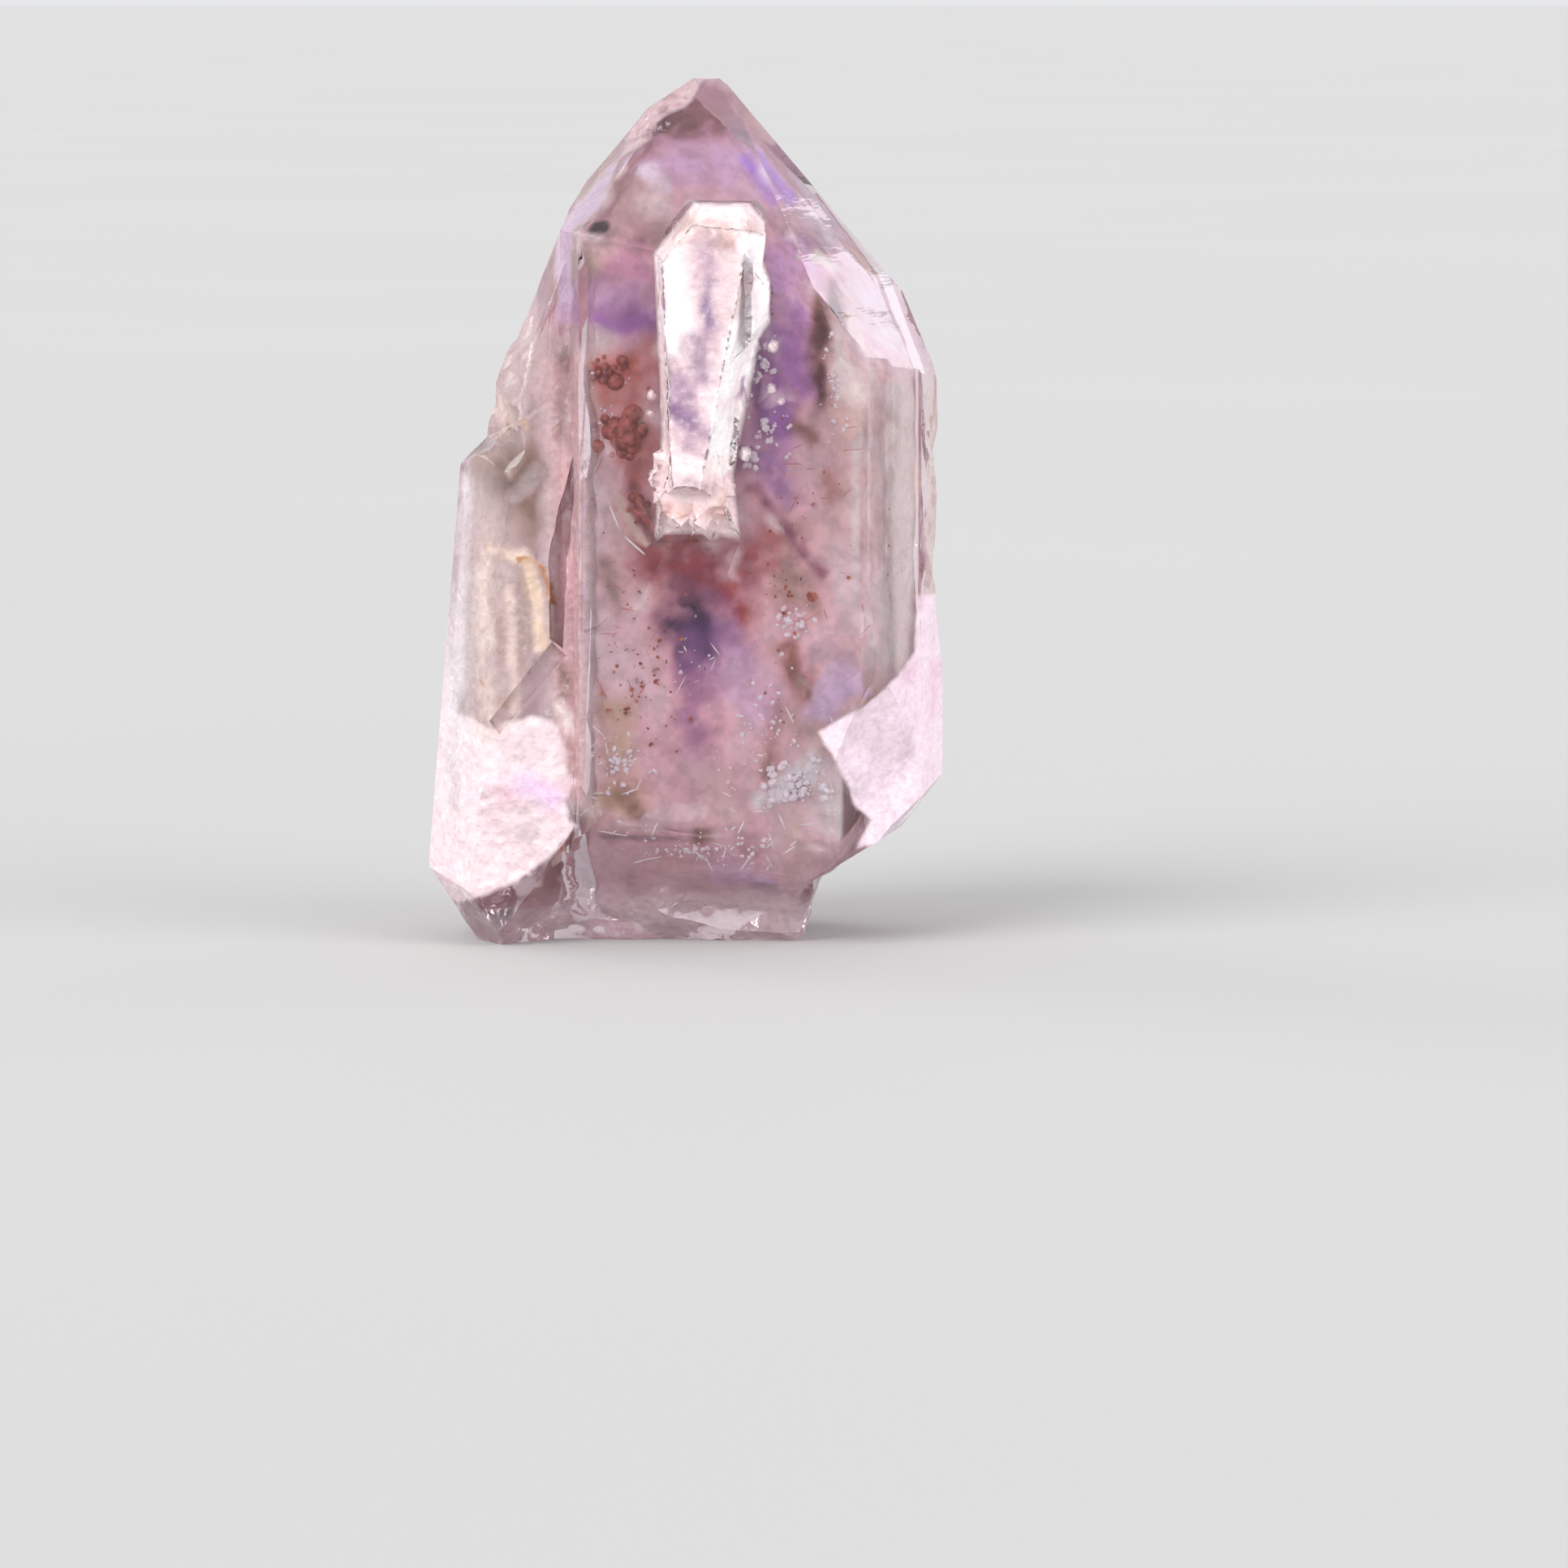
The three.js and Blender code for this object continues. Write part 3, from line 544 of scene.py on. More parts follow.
# Marks on the left crystal's front: the two ends as (x, z), half the width, how soft the edge is, how
# thickly they cover and their colour.
SKIN_STROKES = [
    ((-9.1, 18.6), (-9.6, 6), 0.95, 0.9, 0.8, (226, 216, 222)),
    ((-8.2, 16), (-8, 9), 1.05, 1, 0.85, (228, 206, 196)),
    ((-7.2, 14.6), (-7, 9.6), 0.6, 1, 0.8, (222, 196, 186)),
    ((-6.65, 15.2), (-6.5, 11.4), 0.4, 1, 0.8, (146, 120, 110)),
    ((-7.6, 13.4), (-7.5, 11.6), 0.3, 1, 0.6, (180, 150, 140)),
    ((-8.2, 23.2), (-7.2, 21.2), 0.8, 0.9, 0.75, (214, 188, 180)),
    ((-9.8, 19.3), (-8, 21.6), 0.6, 0.9, 0.8, (222, 200, 194)),
    ((-6.2, 24.6), (-6.75, 21.4), 0.1, 0.8, 0.9, (238, 222, 222)),
    ((-7.9, 20.9), (-7.3, 20.4), 0.1, 0.7, 0.9, (120, 84, 62)),
    ((-7.4, 21.2), (-6.8, 20.9), 0.09, 0.7, 0.9, (130, 92, 68)),
    ((-7.1, 20.7), (-6.8, 20.6), 0.1, 0.7, 0.9, (124, 88, 66)),
    ((-6.6, 21.4), (-6.3, 21), 0.16, 0.8, 0.8, OCHRE),
    # Painted shadow: a dark brown blot on the left crystal.
    ((-6.9, 18.5), (-5.9, 19.5), 0.62, 1, 0.85, (92, 66, 56)),
    ((-7.7, 16.2), (-6.5, 15.9), 0.6, 0.9, 0.84, (236, 212, 190)),
    ((-6.7, 15.9), (-5.9, 15.6), 0.17, 0.8, 0.95, (170, 110, 52)),
    ((-6.3, 15.4), (-5.85, 12.3), 0.6, 0.9, 0.84, (222, 192, 164)),
    ((-5.75, 15.6), (-5.5, 14), 0.26, 0.8, 0.95, (166, 106, 48)),
    ((-7.9, 15.1), (-7, 15.05), 0.06, 0.7, 0.8, (150, 100, 72)),
    ((-8.3, 11), (-8.1, 10.7), 0.09, 0.7, 0.8, OCHRE),
    # Painted shade on the main crystal's narrow left face.
    ((-4.9, 24.2), (-5, 20.8), 0.6, 1, 0.9, (140, 112, 110)),
    ((-4.8, 19.8), (-4.8, 14.4), 0.5, 1, 0.8, (216, 164, 170)),
    ((-5, 11.3), (-4.8, 10.2), 0.4, 1, 0.9, (116, 94, 84)),
    ((-5.1, 9.9), (-4.6, 8.9), 0.46, 0.8, 0.9, (240, 222, 220)),
    ((-6.4, 6.7), (-5.5, 6.2), 0.9, 1, 0.6, (224, 186, 232)),
    ((-5.1, 4.1), (-5.3, 3.5), 0.16, 0.8, 0.95, (150, 66, 34)),
]


def from_line(flat, start, end):
    """How far each point (x, z) is from the line between two points."""
    start, line = np.array(start), np.subtract(end, start)
    along = np.clip((flat - start) @ line / max(line @ line, LEAST), 0, 1)
    return np.linalg.norm(flat - start - along[:, None] * line, axis=1)


def stroke_share(flat, start, end, width, soft):
    """1 along a stroke, falling to 0 at its half width."""
    return ramp(1 - from_line(flat, start, end) / width, 0.0, soft)


def sides_of(outline):
    return zip(outline, outline[1:] + outline[:1])


def from_outline(flat, outline):
    """How far each point (x, z) is from a closed outline."""
    return np.min([from_line(flat, start, end) for start, end in sides_of(outline)], axis=0)


def patch_share(points, outline, back, soft):
    """1 inside an outline seen from the front, falling to 0 across its ragged edge and towards the back."""
    flat = points[:, [0, 2]] + 0.16 * shifts(points, 0.8, 3, 47, 2)
    across, height = flat.T
    inside = np.zeros(len(flat), bool)
    for (x, z), (next_x, next_z) in sides_of(outline):
        if z != next_z:
            crossing = x + (height - z) * (next_x - x) / (next_z - z)
            inside ^= ((z > height) != (next_z > height)) & (across < crossing)
    away = from_outline(flat, outline)
    return ramp(np.where(inside, away, -away), -soft, soft) * ramp(-points[:, 1], back - 0.6, back + 0.6)


# The small crystal's colours, as strokes on its front, with painted light on its right side: (x, z) ends,
# half width, softness of the edge, how strong it is and its colour.
SMALL_BASE = (238, 212, 214)
SMALL_STROKES = [
    ((-0.2, 29.3), (2.4, 29), 0.95, 0.6, 0.9, (206, 174, 170)),
    ((0.2, 29.9), (2, 29.8), 0.3, 0.6, 0.9, (238, 214, 210)),
    ((0.9, 28.9), (1.8, 28.5), 0.34, 0.6, 0.8, (180, 148, 146)),
    ((2.2, 29), (2.6, 28), 0.4, 0.6, 0.95, (248, 232, 232)),
    ((-0.9, 28.6), (0.2, 29.1), 0.4, 0.7, 0.95, (242, 222, 220)),
    ((-0.75, 27.8), (-0.45, 24.7), 0.85, 0.5, 1, (246, 236, 238)),
    ((0.85, 28.6), (0.95, 24.2), 0.8, 0.9, 0.9, (190, 160, 176)),
    ((0.85, 27.2), (0.85, 25.4), 0.34, 0.9, 0.9, (150, 126, 158)),
    ((1.7, 28.2), (1.8, 25.4), 0.42, 0.6, 0.85, (222, 196, 198)),
    ((0.2, 24.6), (0.8, 23.4), 0.8, 0.7, 0.95, (158, 130, 156)),
    ((-0.7, 24), (-0.2, 23), 0.5, 0.7, 0.8, (206, 178, 188)),
    ((-0.1, 22.9), (0.5, 20.6), 1.05, 0.8, 0.95, (172, 142, 166)),
    ((-0.5, 22), (0.7, 21.2), 0.6, 0.9, 0.95, (132, 100, 140)),
    ((-0.95, 23.6), (-0.85, 20.4), 0.3, 0.6, 0.9, (232, 206, 208)),
    ((1.2, 24), (1.1, 22.6), 0.35, 0.7, 0.8, (228, 204, 212)),
    # White frost with painted light: near-white strokes on the side that faces right.
    ((3, 28.4), (2.8, 24.6), 0.8, 0.4, 1, (255, 250, 252)),
    ((2.5, 25), (1.5, 20), 0.8, 0.35, 1, (255, 252, 253)),
    ((2.55, 23.2), (2.35, 22.4), 0.18, 0.6, 0.95, (170, 124, 164)),
    ((-1.2, 27), (-1.15, 26.2), 0.14, 0.8, 0.8, (196, 142, 132)),
    ((-0.9, 19.8), (1.8, 19.7), 0.42, 0.6, 0.9, (248, 232, 230)),
    ((0.2, 19), (0.9, 18.7), 0.45, 0.7, 0.75, (186, 160, 172)),
    ((-0.7, 18), (1.5, 17.7), 0.5, 0.7, 0.8, (222, 178, 172)),
]


def small_paint(points):
    """The small crystal's colour at each point."""
    paint = tone(SMALL_BASE)
    bends = 0.3 * shifts(points, 1.1, 4, 41, 2) + 0.1 * shifts(points, 0.4, 2, 48, 2)
    speck = ramp(fractal(points * [1, 1, 0.6], 0.7, 4, 44), -0.5, 0.2)
    for start, end, width, soft, thick, shade in SMALL_STROKES:
        share = stroke_share(points[:, [0, 2]] + bends, start, end, width, soft)
        paint = blended(paint, thick * (0.35 + 0.65 * speck) * share, tone(shade))
    return paint


def frost_at(points, edge_share):
    """The colour and cover of the frost at each point of the outside."""
    mottle = fractal(points, 1.6, 4, 31)
    uneven = ramp(mottle, -0.6, 0.1)
    colour, cover = tone(WHITE), 0.0
    ragged = points + 0.45 * shifts(points, 1.3, 4, 35)
    for at, reach, soft, thick, shade in FROST_ZONES:
        share = within(ragged, at, reach, soft)
        colour = blended(colour, share * thick, tone(shade))
        cover = np.maximum(cover, thick * share * (0.72 + 0.28 * uneven))
    pinker = 1 - 0.22 * ramp(mottle, 0.0, 0.7)[:, None] * [0.4, 1.0, 0.7]
    grains = 0.45 + 0.55 * ramp(fractal(points, 0.5, 3, 68), -0.35, 0.15)
    for outline, back, soft, thick, shade in PATCHES:
        share = patch_share(points, outline, back, soft)
        colour = blended(colour, share, tone(shade) * pinker)
        sugar = grains if outline is TIP_BREAK else 1.0
        cover += share * (thick * sugar * (0.8 + 0.2 * uneven) - cover)
    bent = points[:, [0, 2]] + 0.28 * shifts(points, 0.9, 4, 57, 2)
    fade = ramp(-points[:, 1], 1.0, 2.2) * (0.55 + 0.45 * ramp(mottle, -0.5, 0.1))
    for start, end, width, soft, thick, shade in SKIN_STROKES:
        share = thick * stroke_share(bent, start, end, width, soft) * fade
        colour = blended(colour, share, tone(shade))
        cover = np.maximum(cover, share)
    small = in_box(points, SMALL_CRYSTAL)
    paint = small_paint(points[small])
    colour[small] = paint
    cover[small] = 0.88 + 0.10 * ramp(paint[:, 1], 0.3, 0.75)
    uneven = ramp(fractal(points, 0.5, 3, 53), -0.3, 0.3)
    for at, reach, strength, shade in STAIN_ZONES:
        share = strength * within(points, at, reach) * uneven
        colour = blended(colour, share, tone(shade))
        cover = np.maximum(cover, 0.9 * share)
    chips = 0.4 * edge_share * ramp(fractal(points, 0.9, 3, 61), -0.1, 0.5)
    return np.column_stack([colour, np.clip(np.maximum(cover, chips), 0, 1)])


def edge_points(points, triangles, angle, spacing=0.12):
    """Points along the sharp edges of a mesh."""
    across = unit(face_normals(points, triangles))
    count = len(points)
    keys = edge_keys(triangles, np.roll(triangles, -1, axis=1), count).T.ravel()
    faces = np.tile(np.arange(len(triangles)), 3)
    order = np.argsort(keys, kind="stable")
    keys, faces = keys[order], faces[order]
    pair = np.flatnonzero(keys[1:] == keys[:-1])
    turn = (across[faces[pair]] * across[faces[pair + 1]]).sum(axis=1)
    sharp = keys[pair[turn < cos(radians(angle))]]
    start, end = points[sharp // count], points[sharp % count]
    steps = np.maximum(np.linalg.norm(end - start, axis=1) / spacing, 1).astype(int)
    shares = [np.linspace(0, 1, step + 1)[:, None] for step in steps]
    return np.concatenate([a + (b - a) * share for a, b, share in zip(start, end, shares)])


def nearness(points, marks, reach):
    """1 at the marks, falling to 0 at reach from the nearest one."""
    tree = KDTree(len(marks))
    for index, mark in enumerate(marks):
        tree.insert(mark, index)
    tree.balance()
    distance = np.array([tree.find(point)[2] for point in points])
    return np.clip(1 - distance / reach, 0, 1)


def levelled(points):
    """Points just above the front face beside the two left grains, moved down onto it."""
    return np.where(in_box(points, GRAIN_FEET)[:, None] & [False, True, False], FRONT_LEVEL, points)


# The sharpest turns that stay smooth and that stay unchipped, in degrees, how far chips reach from an
# edge, the least frost that is kept and how far it stands off the quartz.
SMOOTH_TURN, CHIP_TURN = 17, 24
CHIP_REACH = 0.3
LEAST_FROST = 0.04
SKIN_LIFT = 0.012


def make_outside():
    """The crystal and its frosted skin. Returns a search tree of the crystal's surface."""
    points, triangles = arrays_of(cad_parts[NODE].data)
    tree = BVHTree.FromPolygons(points.tolist(), triangles.tolist())
    points = levelled(points)
    marks = edge_points(points, triangles, CHIP_TURN)
    points, triangles = refined(points, triangles, surface_limit)
    moved = weathered(points, normals_of(points, triangles))
    crystal = piece_from("crystal", points, triangles, quartz_material(), SMOOTH_TURN, moved)
    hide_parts(NODE)
    frost = frost_at(points, nearness(points, marks, CHIP_REACH))
    used, kept = kept_faces(triangles, frost[:, 3], LEAST_FROST)
    lifted = np.clip(moved + SKIN_LIFT * normals_of(moved, triangles), BOX_LOW, BOX_HIGH)[used]
    colours = {"frost": frost[used]}
    piece_from("frosted_skin", points[used], kept, skin_material(), SMOOTH_TURN, lifted, colours)
    return tree


# Growth layers inside: closed bodies whose faces run parallel to the crystal's. A face is an azimuth from
# the front, how far it looks out and up, and a point that it passes through, in millimetres.
MAIN_FACES = [
    (0, 1, 0, (0, -6, 0)),
    (60, 1, 0, (8.6, -4.6, 0)),
    (120, 1, 0, (10, -1.4, 0)),
    (180, 1, 0, (0, 6.5, 0)),
    (-108, 1, 0, (-5.3, -3.75, 0)),
    (-72, 1, 0, (-4.5, -6, 0)),
    (10, 1.292, 1, (-4.5, -6, 29)),
    (63.3, 1.433, 1, (7.16, -6, 24.05)),
    (120, 1.25, 1, (1.37, -0.3, 35.13)),
    (180, 1.272, 1, (0.5, 1, 35.2)),
    (-110, 1.546, 1, (-3.23, -0.37, 32.11)),
    (-70.5, 1.045, 1, (-4.5, -6, 29)),
    (-5.8, 1.277, -1, (-4.78, -6, 5.35)),
    (80, 1.18, -1, (10.26, -0.6, 6.54)),
    (178, 1.9, -1, (0, 6.5, 2.6)),
    (0, 0, -1, (0, 0, 0.4)),
]
LEFT_FACES = [
    (0, 1, 0, (0, -5.1, 0)),
    (-60, 1, 0.071, (-9.38, -1.7, 19.55)),
    (-120, 1, 0.071, (-9.38, -1.7, 19.55)),
    (180, 1, 0, (0, 4, 0)),
    (90, 1, 0, (-4.4, 0, 0)),
    (-74, 1.5, 1, (-7.2, -1.7, 23.6)),
    (0, 0, -1, (0, 0, 0.8)),
]


def body_of(faces, inset, size):
    """The points and triangles of the body that the faces enclose, each moved in by inset."""
    shape = bmesh.new()
    bmesh.ops.create_cube(shape, size=200)
    for azimuth, out, up, point in faces:
        a = radians(azimuth)
        normal = Vector((out * sin(a), -out * cos(a), up)).normalized()
        geometry = shape.verts[:] + shape.edges[:] + shape.faces[:]
        place = Vector(point) - normal * inset
        cut = bmesh.ops.bisect_plane(shape, geom=geometry, plane_co=place, plane_no=normal, clear_outer=True)
        rim = [part for part in cut["geom_cut"] if isinstance(part, bmesh.types.BMEdge)]
        bmesh.ops.holes_fill(shape, edges=rim)
    bmesh.ops.triangulate(shape, faces=shape.faces[:])
    return refined(*taken_from(shape), lambda middles: np.full(len(middles), size))


# Clouds of colour all through the crystal: middle, reach, how thickly they cover and their colour.
CLOUDS = [
    ((-8, -2, 21), (3, 4, 5), 0.95, (176, 144, 132)),
    ((0.8, 3, 15), (6, 4, 9), 0.92, (138, 98, 166)),
    ((-1.5, 4, 24), (3, 3, 4), 0.92, MAUVE),
    ((2.6, 3.5, 28), (3, 3, 3), 0.88, PALE_LILAC),
    ((-4.5, 2.6, 8), (3, 3, 6), 0.9, TAN),
    ((6, 2.5, 8), (3, 3, 6), 0.92, RED_BROWN),
    ((8, 0, 18), (2.2, 3.5, 6), 0.85, TAN),
    ((7.6, -1, 25), (2.6, 3, 3), 0.9, PALE_LILAC),
    ((-1, 4.5, 12), (2.4, 2.5, 4), 0.92, (92, 64, 128)),
    ((1, 3.5, 5), (6, 3, 3), 0.85, CLEAR_PINK),
    ((-8, 0, 12), (2, 4, 9), 0.8, (214, 194, 186)),
]

# Strokes of colour in the front of the layers, each over those before it: the two ends as (x, z), half
# the width, how thickly it covers and its colour. A last number is how soft its edge is. Without one,
# the stroke is a patchy cloud.
STROKES = [
    ((0.6, 33.8), (-2.6, 30.4), 1.4, 0.96, (122, 84, 88)),
    ((-1.4, 33.1), (1.6, 33.1), 0.6, 1, (90, 62, 64)),
    ((-1, 31.6), (2.2, 31.3), 0.85, 0.9, (190, 142, 188)),
    ((-1.6, 31.2), (-1.2, 30.6), 0.42, 0.95, (240, 218, 250)),
    ((-3.9, 29.6), (-1.8, 29.6), 1, 0.94, (160, 126, 124)),
    ((-1.6, 30), (-1.2, 29), 0.55, 0.95, (216, 182, 180)),
    ((-4.4, 28.5), (-3.9, 27.4), 0.5, 0.92, (168, 138, 128)),
    ((-1.3, 28.8), (-4.3, 26.4), 0.46, 0.97, (96, 72, 74)),
    ((-4.2, 26), (-1.8, 26.6), 0.8, 0.97, (192, 140, 182)),
    ((-2.8, 27.6), (-1.5, 27.2), 0.65, 0.95, (192, 118, 146)),
    ((-3.2, 25.7), (-1.3, 25.4), 0.75, 0.95, (128, 80, 144)),
    ((-4.3, 25), (-3.2, 24.8), 0.42, 0.9, (216, 186, 186)),
    ((-3.7, 23.4), (-1.4, 23.8), 0.8, 0.96, (172, 82, 72)),
    ((-4.3, 22.8), (-3.6, 22.4), 0.4, 0.92, (208, 170, 166)),
    ((-3.1, 22.8), (-2, 20.8), 0.9, 0.97, (170, 84, 76)),
    ((-3.6, 21), (-2.6, 20.4), 0.6, 0.95, (176, 110, 108)),
    ((-2.4, 20), (-1.7, 18.6), 0.8, 0.98, (156, 82, 80)),
    ((3.5, 29.2), (4.9, 28), 0.9, 0.92, (150, 114, 124)),
    ((4.1, 28.1), (4.9, 27.7), 0.32, 0.96, (106, 78, 82)),
    ((3.5, 27.4), (4.4, 26), 0.7, 0.95, (178, 122, 176)),
    ((3.2, 25.6), (4.5, 23.6), 0.95, 1, (150, 98, 164)),
    ((4.4, 25.9), (4.3, 23.2), 0.45, 0.92, (134, 84, 142)),
    ((2.9, 23.4), (3.6, 21.2), 0.8, 1, (112, 66, 130)),
    ((2.5, 24.4), (2.7, 22.4), 0.4, 1, (92, 48, 100)),
    ((4.5, 27.4), (5.4, 27.1), 0.26, 0.96, (226, 202, 186), 0.4),
    ((5.9, 26), (6.7, 22.8), 0.55, 0.95, (226, 196, 186)),
    ((5.5, 26.4), (5.35, 23.6), 0.5, 0.96, (96, 60, 52)),
    ((5.4, 25.6), (5.3, 21.8), 0.42, 0.99, (62, 40, 40)),
    # Painted reflection: the pale lilac sheen under the upper right facet.
    ((5.4, 30), (8.8, 25.8), 1.3, 0.92, (236, 212, 240)),
    # Painted highlight: a bright violet glint at the upper right facet's upper left edge.
    ((2.3, 31.4), (3.6, 29.9), 0.28, 0.95, (156, 112, 226)),
    # Painted dark reflection: a near-black streak below the tip.
    ((1.9, 33.6), (3.6, 32.2), 0.42, 0.97, (44, 38, 40)),
    ((2.4, 20.6), (3.8, 19), 1.05, 0.95, (132, 92, 142)),
    ((5.3, 21), (6.4, 16), 1, 0.9, (182, 142, 146)),
    ((4.4, 21.3), (5.1, 20.7), 0.46, 0.95, (108, 74, 70)),
    ((5.9, 19), (5.8, 18.2), 0.4, 0.92, (140, 96, 92)),
    ((3.8, 17), (4.7, 14.2), 0.75, 0.92, (138, 108, 102)),
    ((-1.2, 16.6), (3, 16.3), 0.95, 1, (138, 68, 72)),
    ((-1.2, 15.5), (2.2, 15.2), 1.05, 1, (112, 46, 54)),
    ((1.6, 14.4), (2.4, 13.6), 0.6, 1, (124, 48, 46)),
    ((-4.4, 20.2), (-3.6, 17.2), 0.75, 0.95, (222, 172, 178)),
    ((-4.2, 14.6), (-2.4, 11), 1, 0.95, (226, 172, 182)),
    ((-3.3, 15.7), (-2.9, 14.1), 0.45, 0.95, (122, 98, 94)),
    ((0.3, 13.4), (1.2, 12), 1.1, 0.9, (112, 68, 116)),
    ((0.1, 14), (0.3, 12.8), 0.9, 1, (26, 16, 32)),
    ((0.2, 13), (0.4, 11.4), 0.62, 1, (50, 32, 62)),
    ((0.3, 12.2), (0.5, 10.2), 0.5, 0.95, (82, 54, 92)),
    ((1.8, 12.7), (2.4, 11.8), 0.7, 0.9, (132, 90, 138)),
    ((0.4, 10.8), (0.5, 6.8), 0.75, 0.92, (140, 92, 124)),
    ((2, 11.4), (3, 9.8), 0.85, 0.95, (206, 156, 198)),
    ((-2.8, 9.6), (-2.6, 8), 0.75, 0.7, (208, 156, 128)),
    ((-4.2, 6), (-2.2, 6.4), 0.75, 0.95, (156, 120, 98)),
    ((-2.5, 6.3), (-1.9, 5.7), 0.36, 0.96, (102, 76, 64)),
    ((0.6, 7.4), (1.6, 5.4), 0.8, 0.9, (184, 144, 146)),
    ((-1.5, 5.45), (0.4, 5.4), 0.44, 0.96, (200, 160, 166), 0.2),
    ((-3.4, 4.76), (0.3, 4.7), 0.17, 0.95, (128, 100, 112)),
    ((0.4, 4.6), (0.8, 4.6), 0.24, 0.96, (98, 72, 62)),
    ((4, 12.1), (4.8, 10.3), 0.52, 0.97, (102, 66, 58)),
    ((3.7, 9.6), (3.4, 6.4), 0.36, 0.95, (118, 90, 86)),
    ((5.4, 12), (6.4, 11.4), 0.85, 0.97, (166, 130, 142), 0.35),
    ((5.6, 10.6), (6.6, 10.6), 0.75, 0.97, (184, 148, 178), 0.35),
    ((6.2, 10.3), (5.6, 9.5), 0.6, 0.94, (178, 146, 190)),
    ((4.4, 9.2), (5.6, 8.4), 0.6, 0.92, (146, 122, 118)),
    ((5.4, 7.6), (6.2, 4.8), 0.6, 0.95, (238, 208, 204)),
    ((3.1, 6), (5.3, 7.5), 0.34, 0.97, (248, 232, 226)),
    ((8.2, 22.4), (8, 12), 0.6, 0.9, (232, 206, 200)),
    ((6.9, 20.4), (6.8, 14), 0.18, 0.9, (226, 198, 196)),
    ((6.1, 16.4), (6.6, 13.2), 0.34, 0.9, (216, 180, 184)),
    ((2.8, 18.6), (5.6, 15.2), 0.24, 0.98, (104, 62, 78)),
    # Painted shadow: a dark line along the edge of a low ledge below and left of the small crystal.
    ((-2.2, 18.8), (-1.2, 16.7), 0.3, 0.98, (92, 44, 50)),
    ((-2.7, 18.3), (-1.6, 16.5), 0.22, 0.95, (208, 170, 152), 0.4),
    ((-8, 22.6), (-6.2, 24.4), 1.5, 0.95, (160, 128, 116)),
    ((-9.2, 19.6), (-8.2, 21.2), 0.9, 0.95, (178, 146, 132)),
    ((-7, 21.4), (-5.6, 22.4), 0.8, 0.95, (190, 156, 146)),
    # Painted shadow: a dark brown blot on the left crystal, in a softer brown rim.
    ((-7.2, 19.8), (-6, 17.4), 1.4, 0.92, (150, 118, 100)),
    ((-7, 18.8), (-5.7, 19.7), 0.62, 0.98, (84, 62, 54)),
    # Painted shade on the main crystal's narrow left face.
    ((-5.3, 24.2), (-4.8, 22), 0.5, 0.95, (136, 116, 118)),
    ((-6.6, 14.8), (-6.7, 12.2), 0.34, 0.92, (148, 128, 122)),
    ((-5.2, 10.9), (-4.8, 10.2), 0.42, 0.96, (112, 92, 86)),
    ((1.6, 3.2), (3.4, 2.8), 0.5, 0.9, (190, 150, 200)),
]


# How much wider than its own width a patchy cloud reaches, and the share of it that fades.
CLOUD_SPREAD, CLOUD_SOFT = 1.85, 0.95


def haze_at(points, normals, most, marks, spread, seed):
    """The colour and cover of a growth layer at each point."""
    tint = fractal(points * [1, 1, 0.45], 2.2, 3, seed + 7)
    shift = shifts(points, 1.6, 3, seed)
    colour = blended(tone(CLEAR_PINK), ramp(tint, 0.0, 0.55), tone(TAN))
    colour = blended(colour, ramp(-tint, 0.0, 0.55), tone(MAUVE))
    uneven = 0.72 + 0.28 * ramp(fractal(points, 3.4, 3, seed + 5), -0.5, 0.4)
    cover = most * uneven * (1 - 0.2 * ramp(points[:, 2], 28.0, 33.0))
    for at, reach, thick, shade in CLOUDS:
        share = within(points + 0.94 * shift, at, reach)
        colour = blended(colour, share, tone(shade))
        cover += share * (thick * most - cover)
    front = marks * ramp(-normals[:, 1], 0.05, 0.3)
    patchy = 0.66 + 0.34 * ramp(fractal(points, 0.8, 4, seed + 15), -0.4, 0.15)
    bends = shift[:, [0, 2]] + 0.55 * shifts(points, 0.6, 3, seed + 3, 2)
    for start, end, width, thick, shade, *edge in STROKES:
        bent = points[:, [0, 2]] + min(0.8, 0.9 * width) * bends
        reach, soft = (width, edge[0]) if edge else (CLOUD_SPREAD * width, CLOUD_SOFT)
        share = front * stroke_share(bent, start, end, reach + spread, soft)
        share *= 1.0 if edge else patchy
        colour = blended(colour, share, tone(shade))
        cover += share * (thick * most - cover)
    mottle = 1 + 0.22 * fractal(points * [1, 1, 0.7], 0.9, 3, seed + 9)
    return np.clip(colour * mottle[:, None], 0.01, 0.95), np.clip(cover, 0, 1)


# The layers: the faces each follows, how far in it lies, its longest edge, how thickly it covers, how
# strong its strokes are and how much wider. A layer that covers wholly is the opaque core.
LAYERS = [
    (MAIN_FACES, 1.15, 0.22, 0.93, 1.0, 0.0),
    (MAIN_FACES, 2.7, 0.5, 1.0, 0.9, 0.2),
    (LEFT_FACES, 0.7, 0.3, 0.75, 1.0, 0.0),
    (LEFT_FACES, 1.8, 0.5, 1.0, 0.9, 0.1),
]
# A layer or veil fades out between these depths, and what covers less is left out.
NEAR_OUTSIDE = (0.10, 0.35)
LEAST_HAZE, LEAST_CORE = 0.02, 0.6


def depths_in(tree, points):
    """How deep each point lies inside the crystal, and negative outside, in millimetres."""
    depths = np.zeros(len(points))
    for index, point in enumerate(points.tolist()):
        place, normal, _, distance = tree.find_nearest(point)
        depths[index] = copysign(distance, (place - Vector(point)).dot(normal))
    return depths


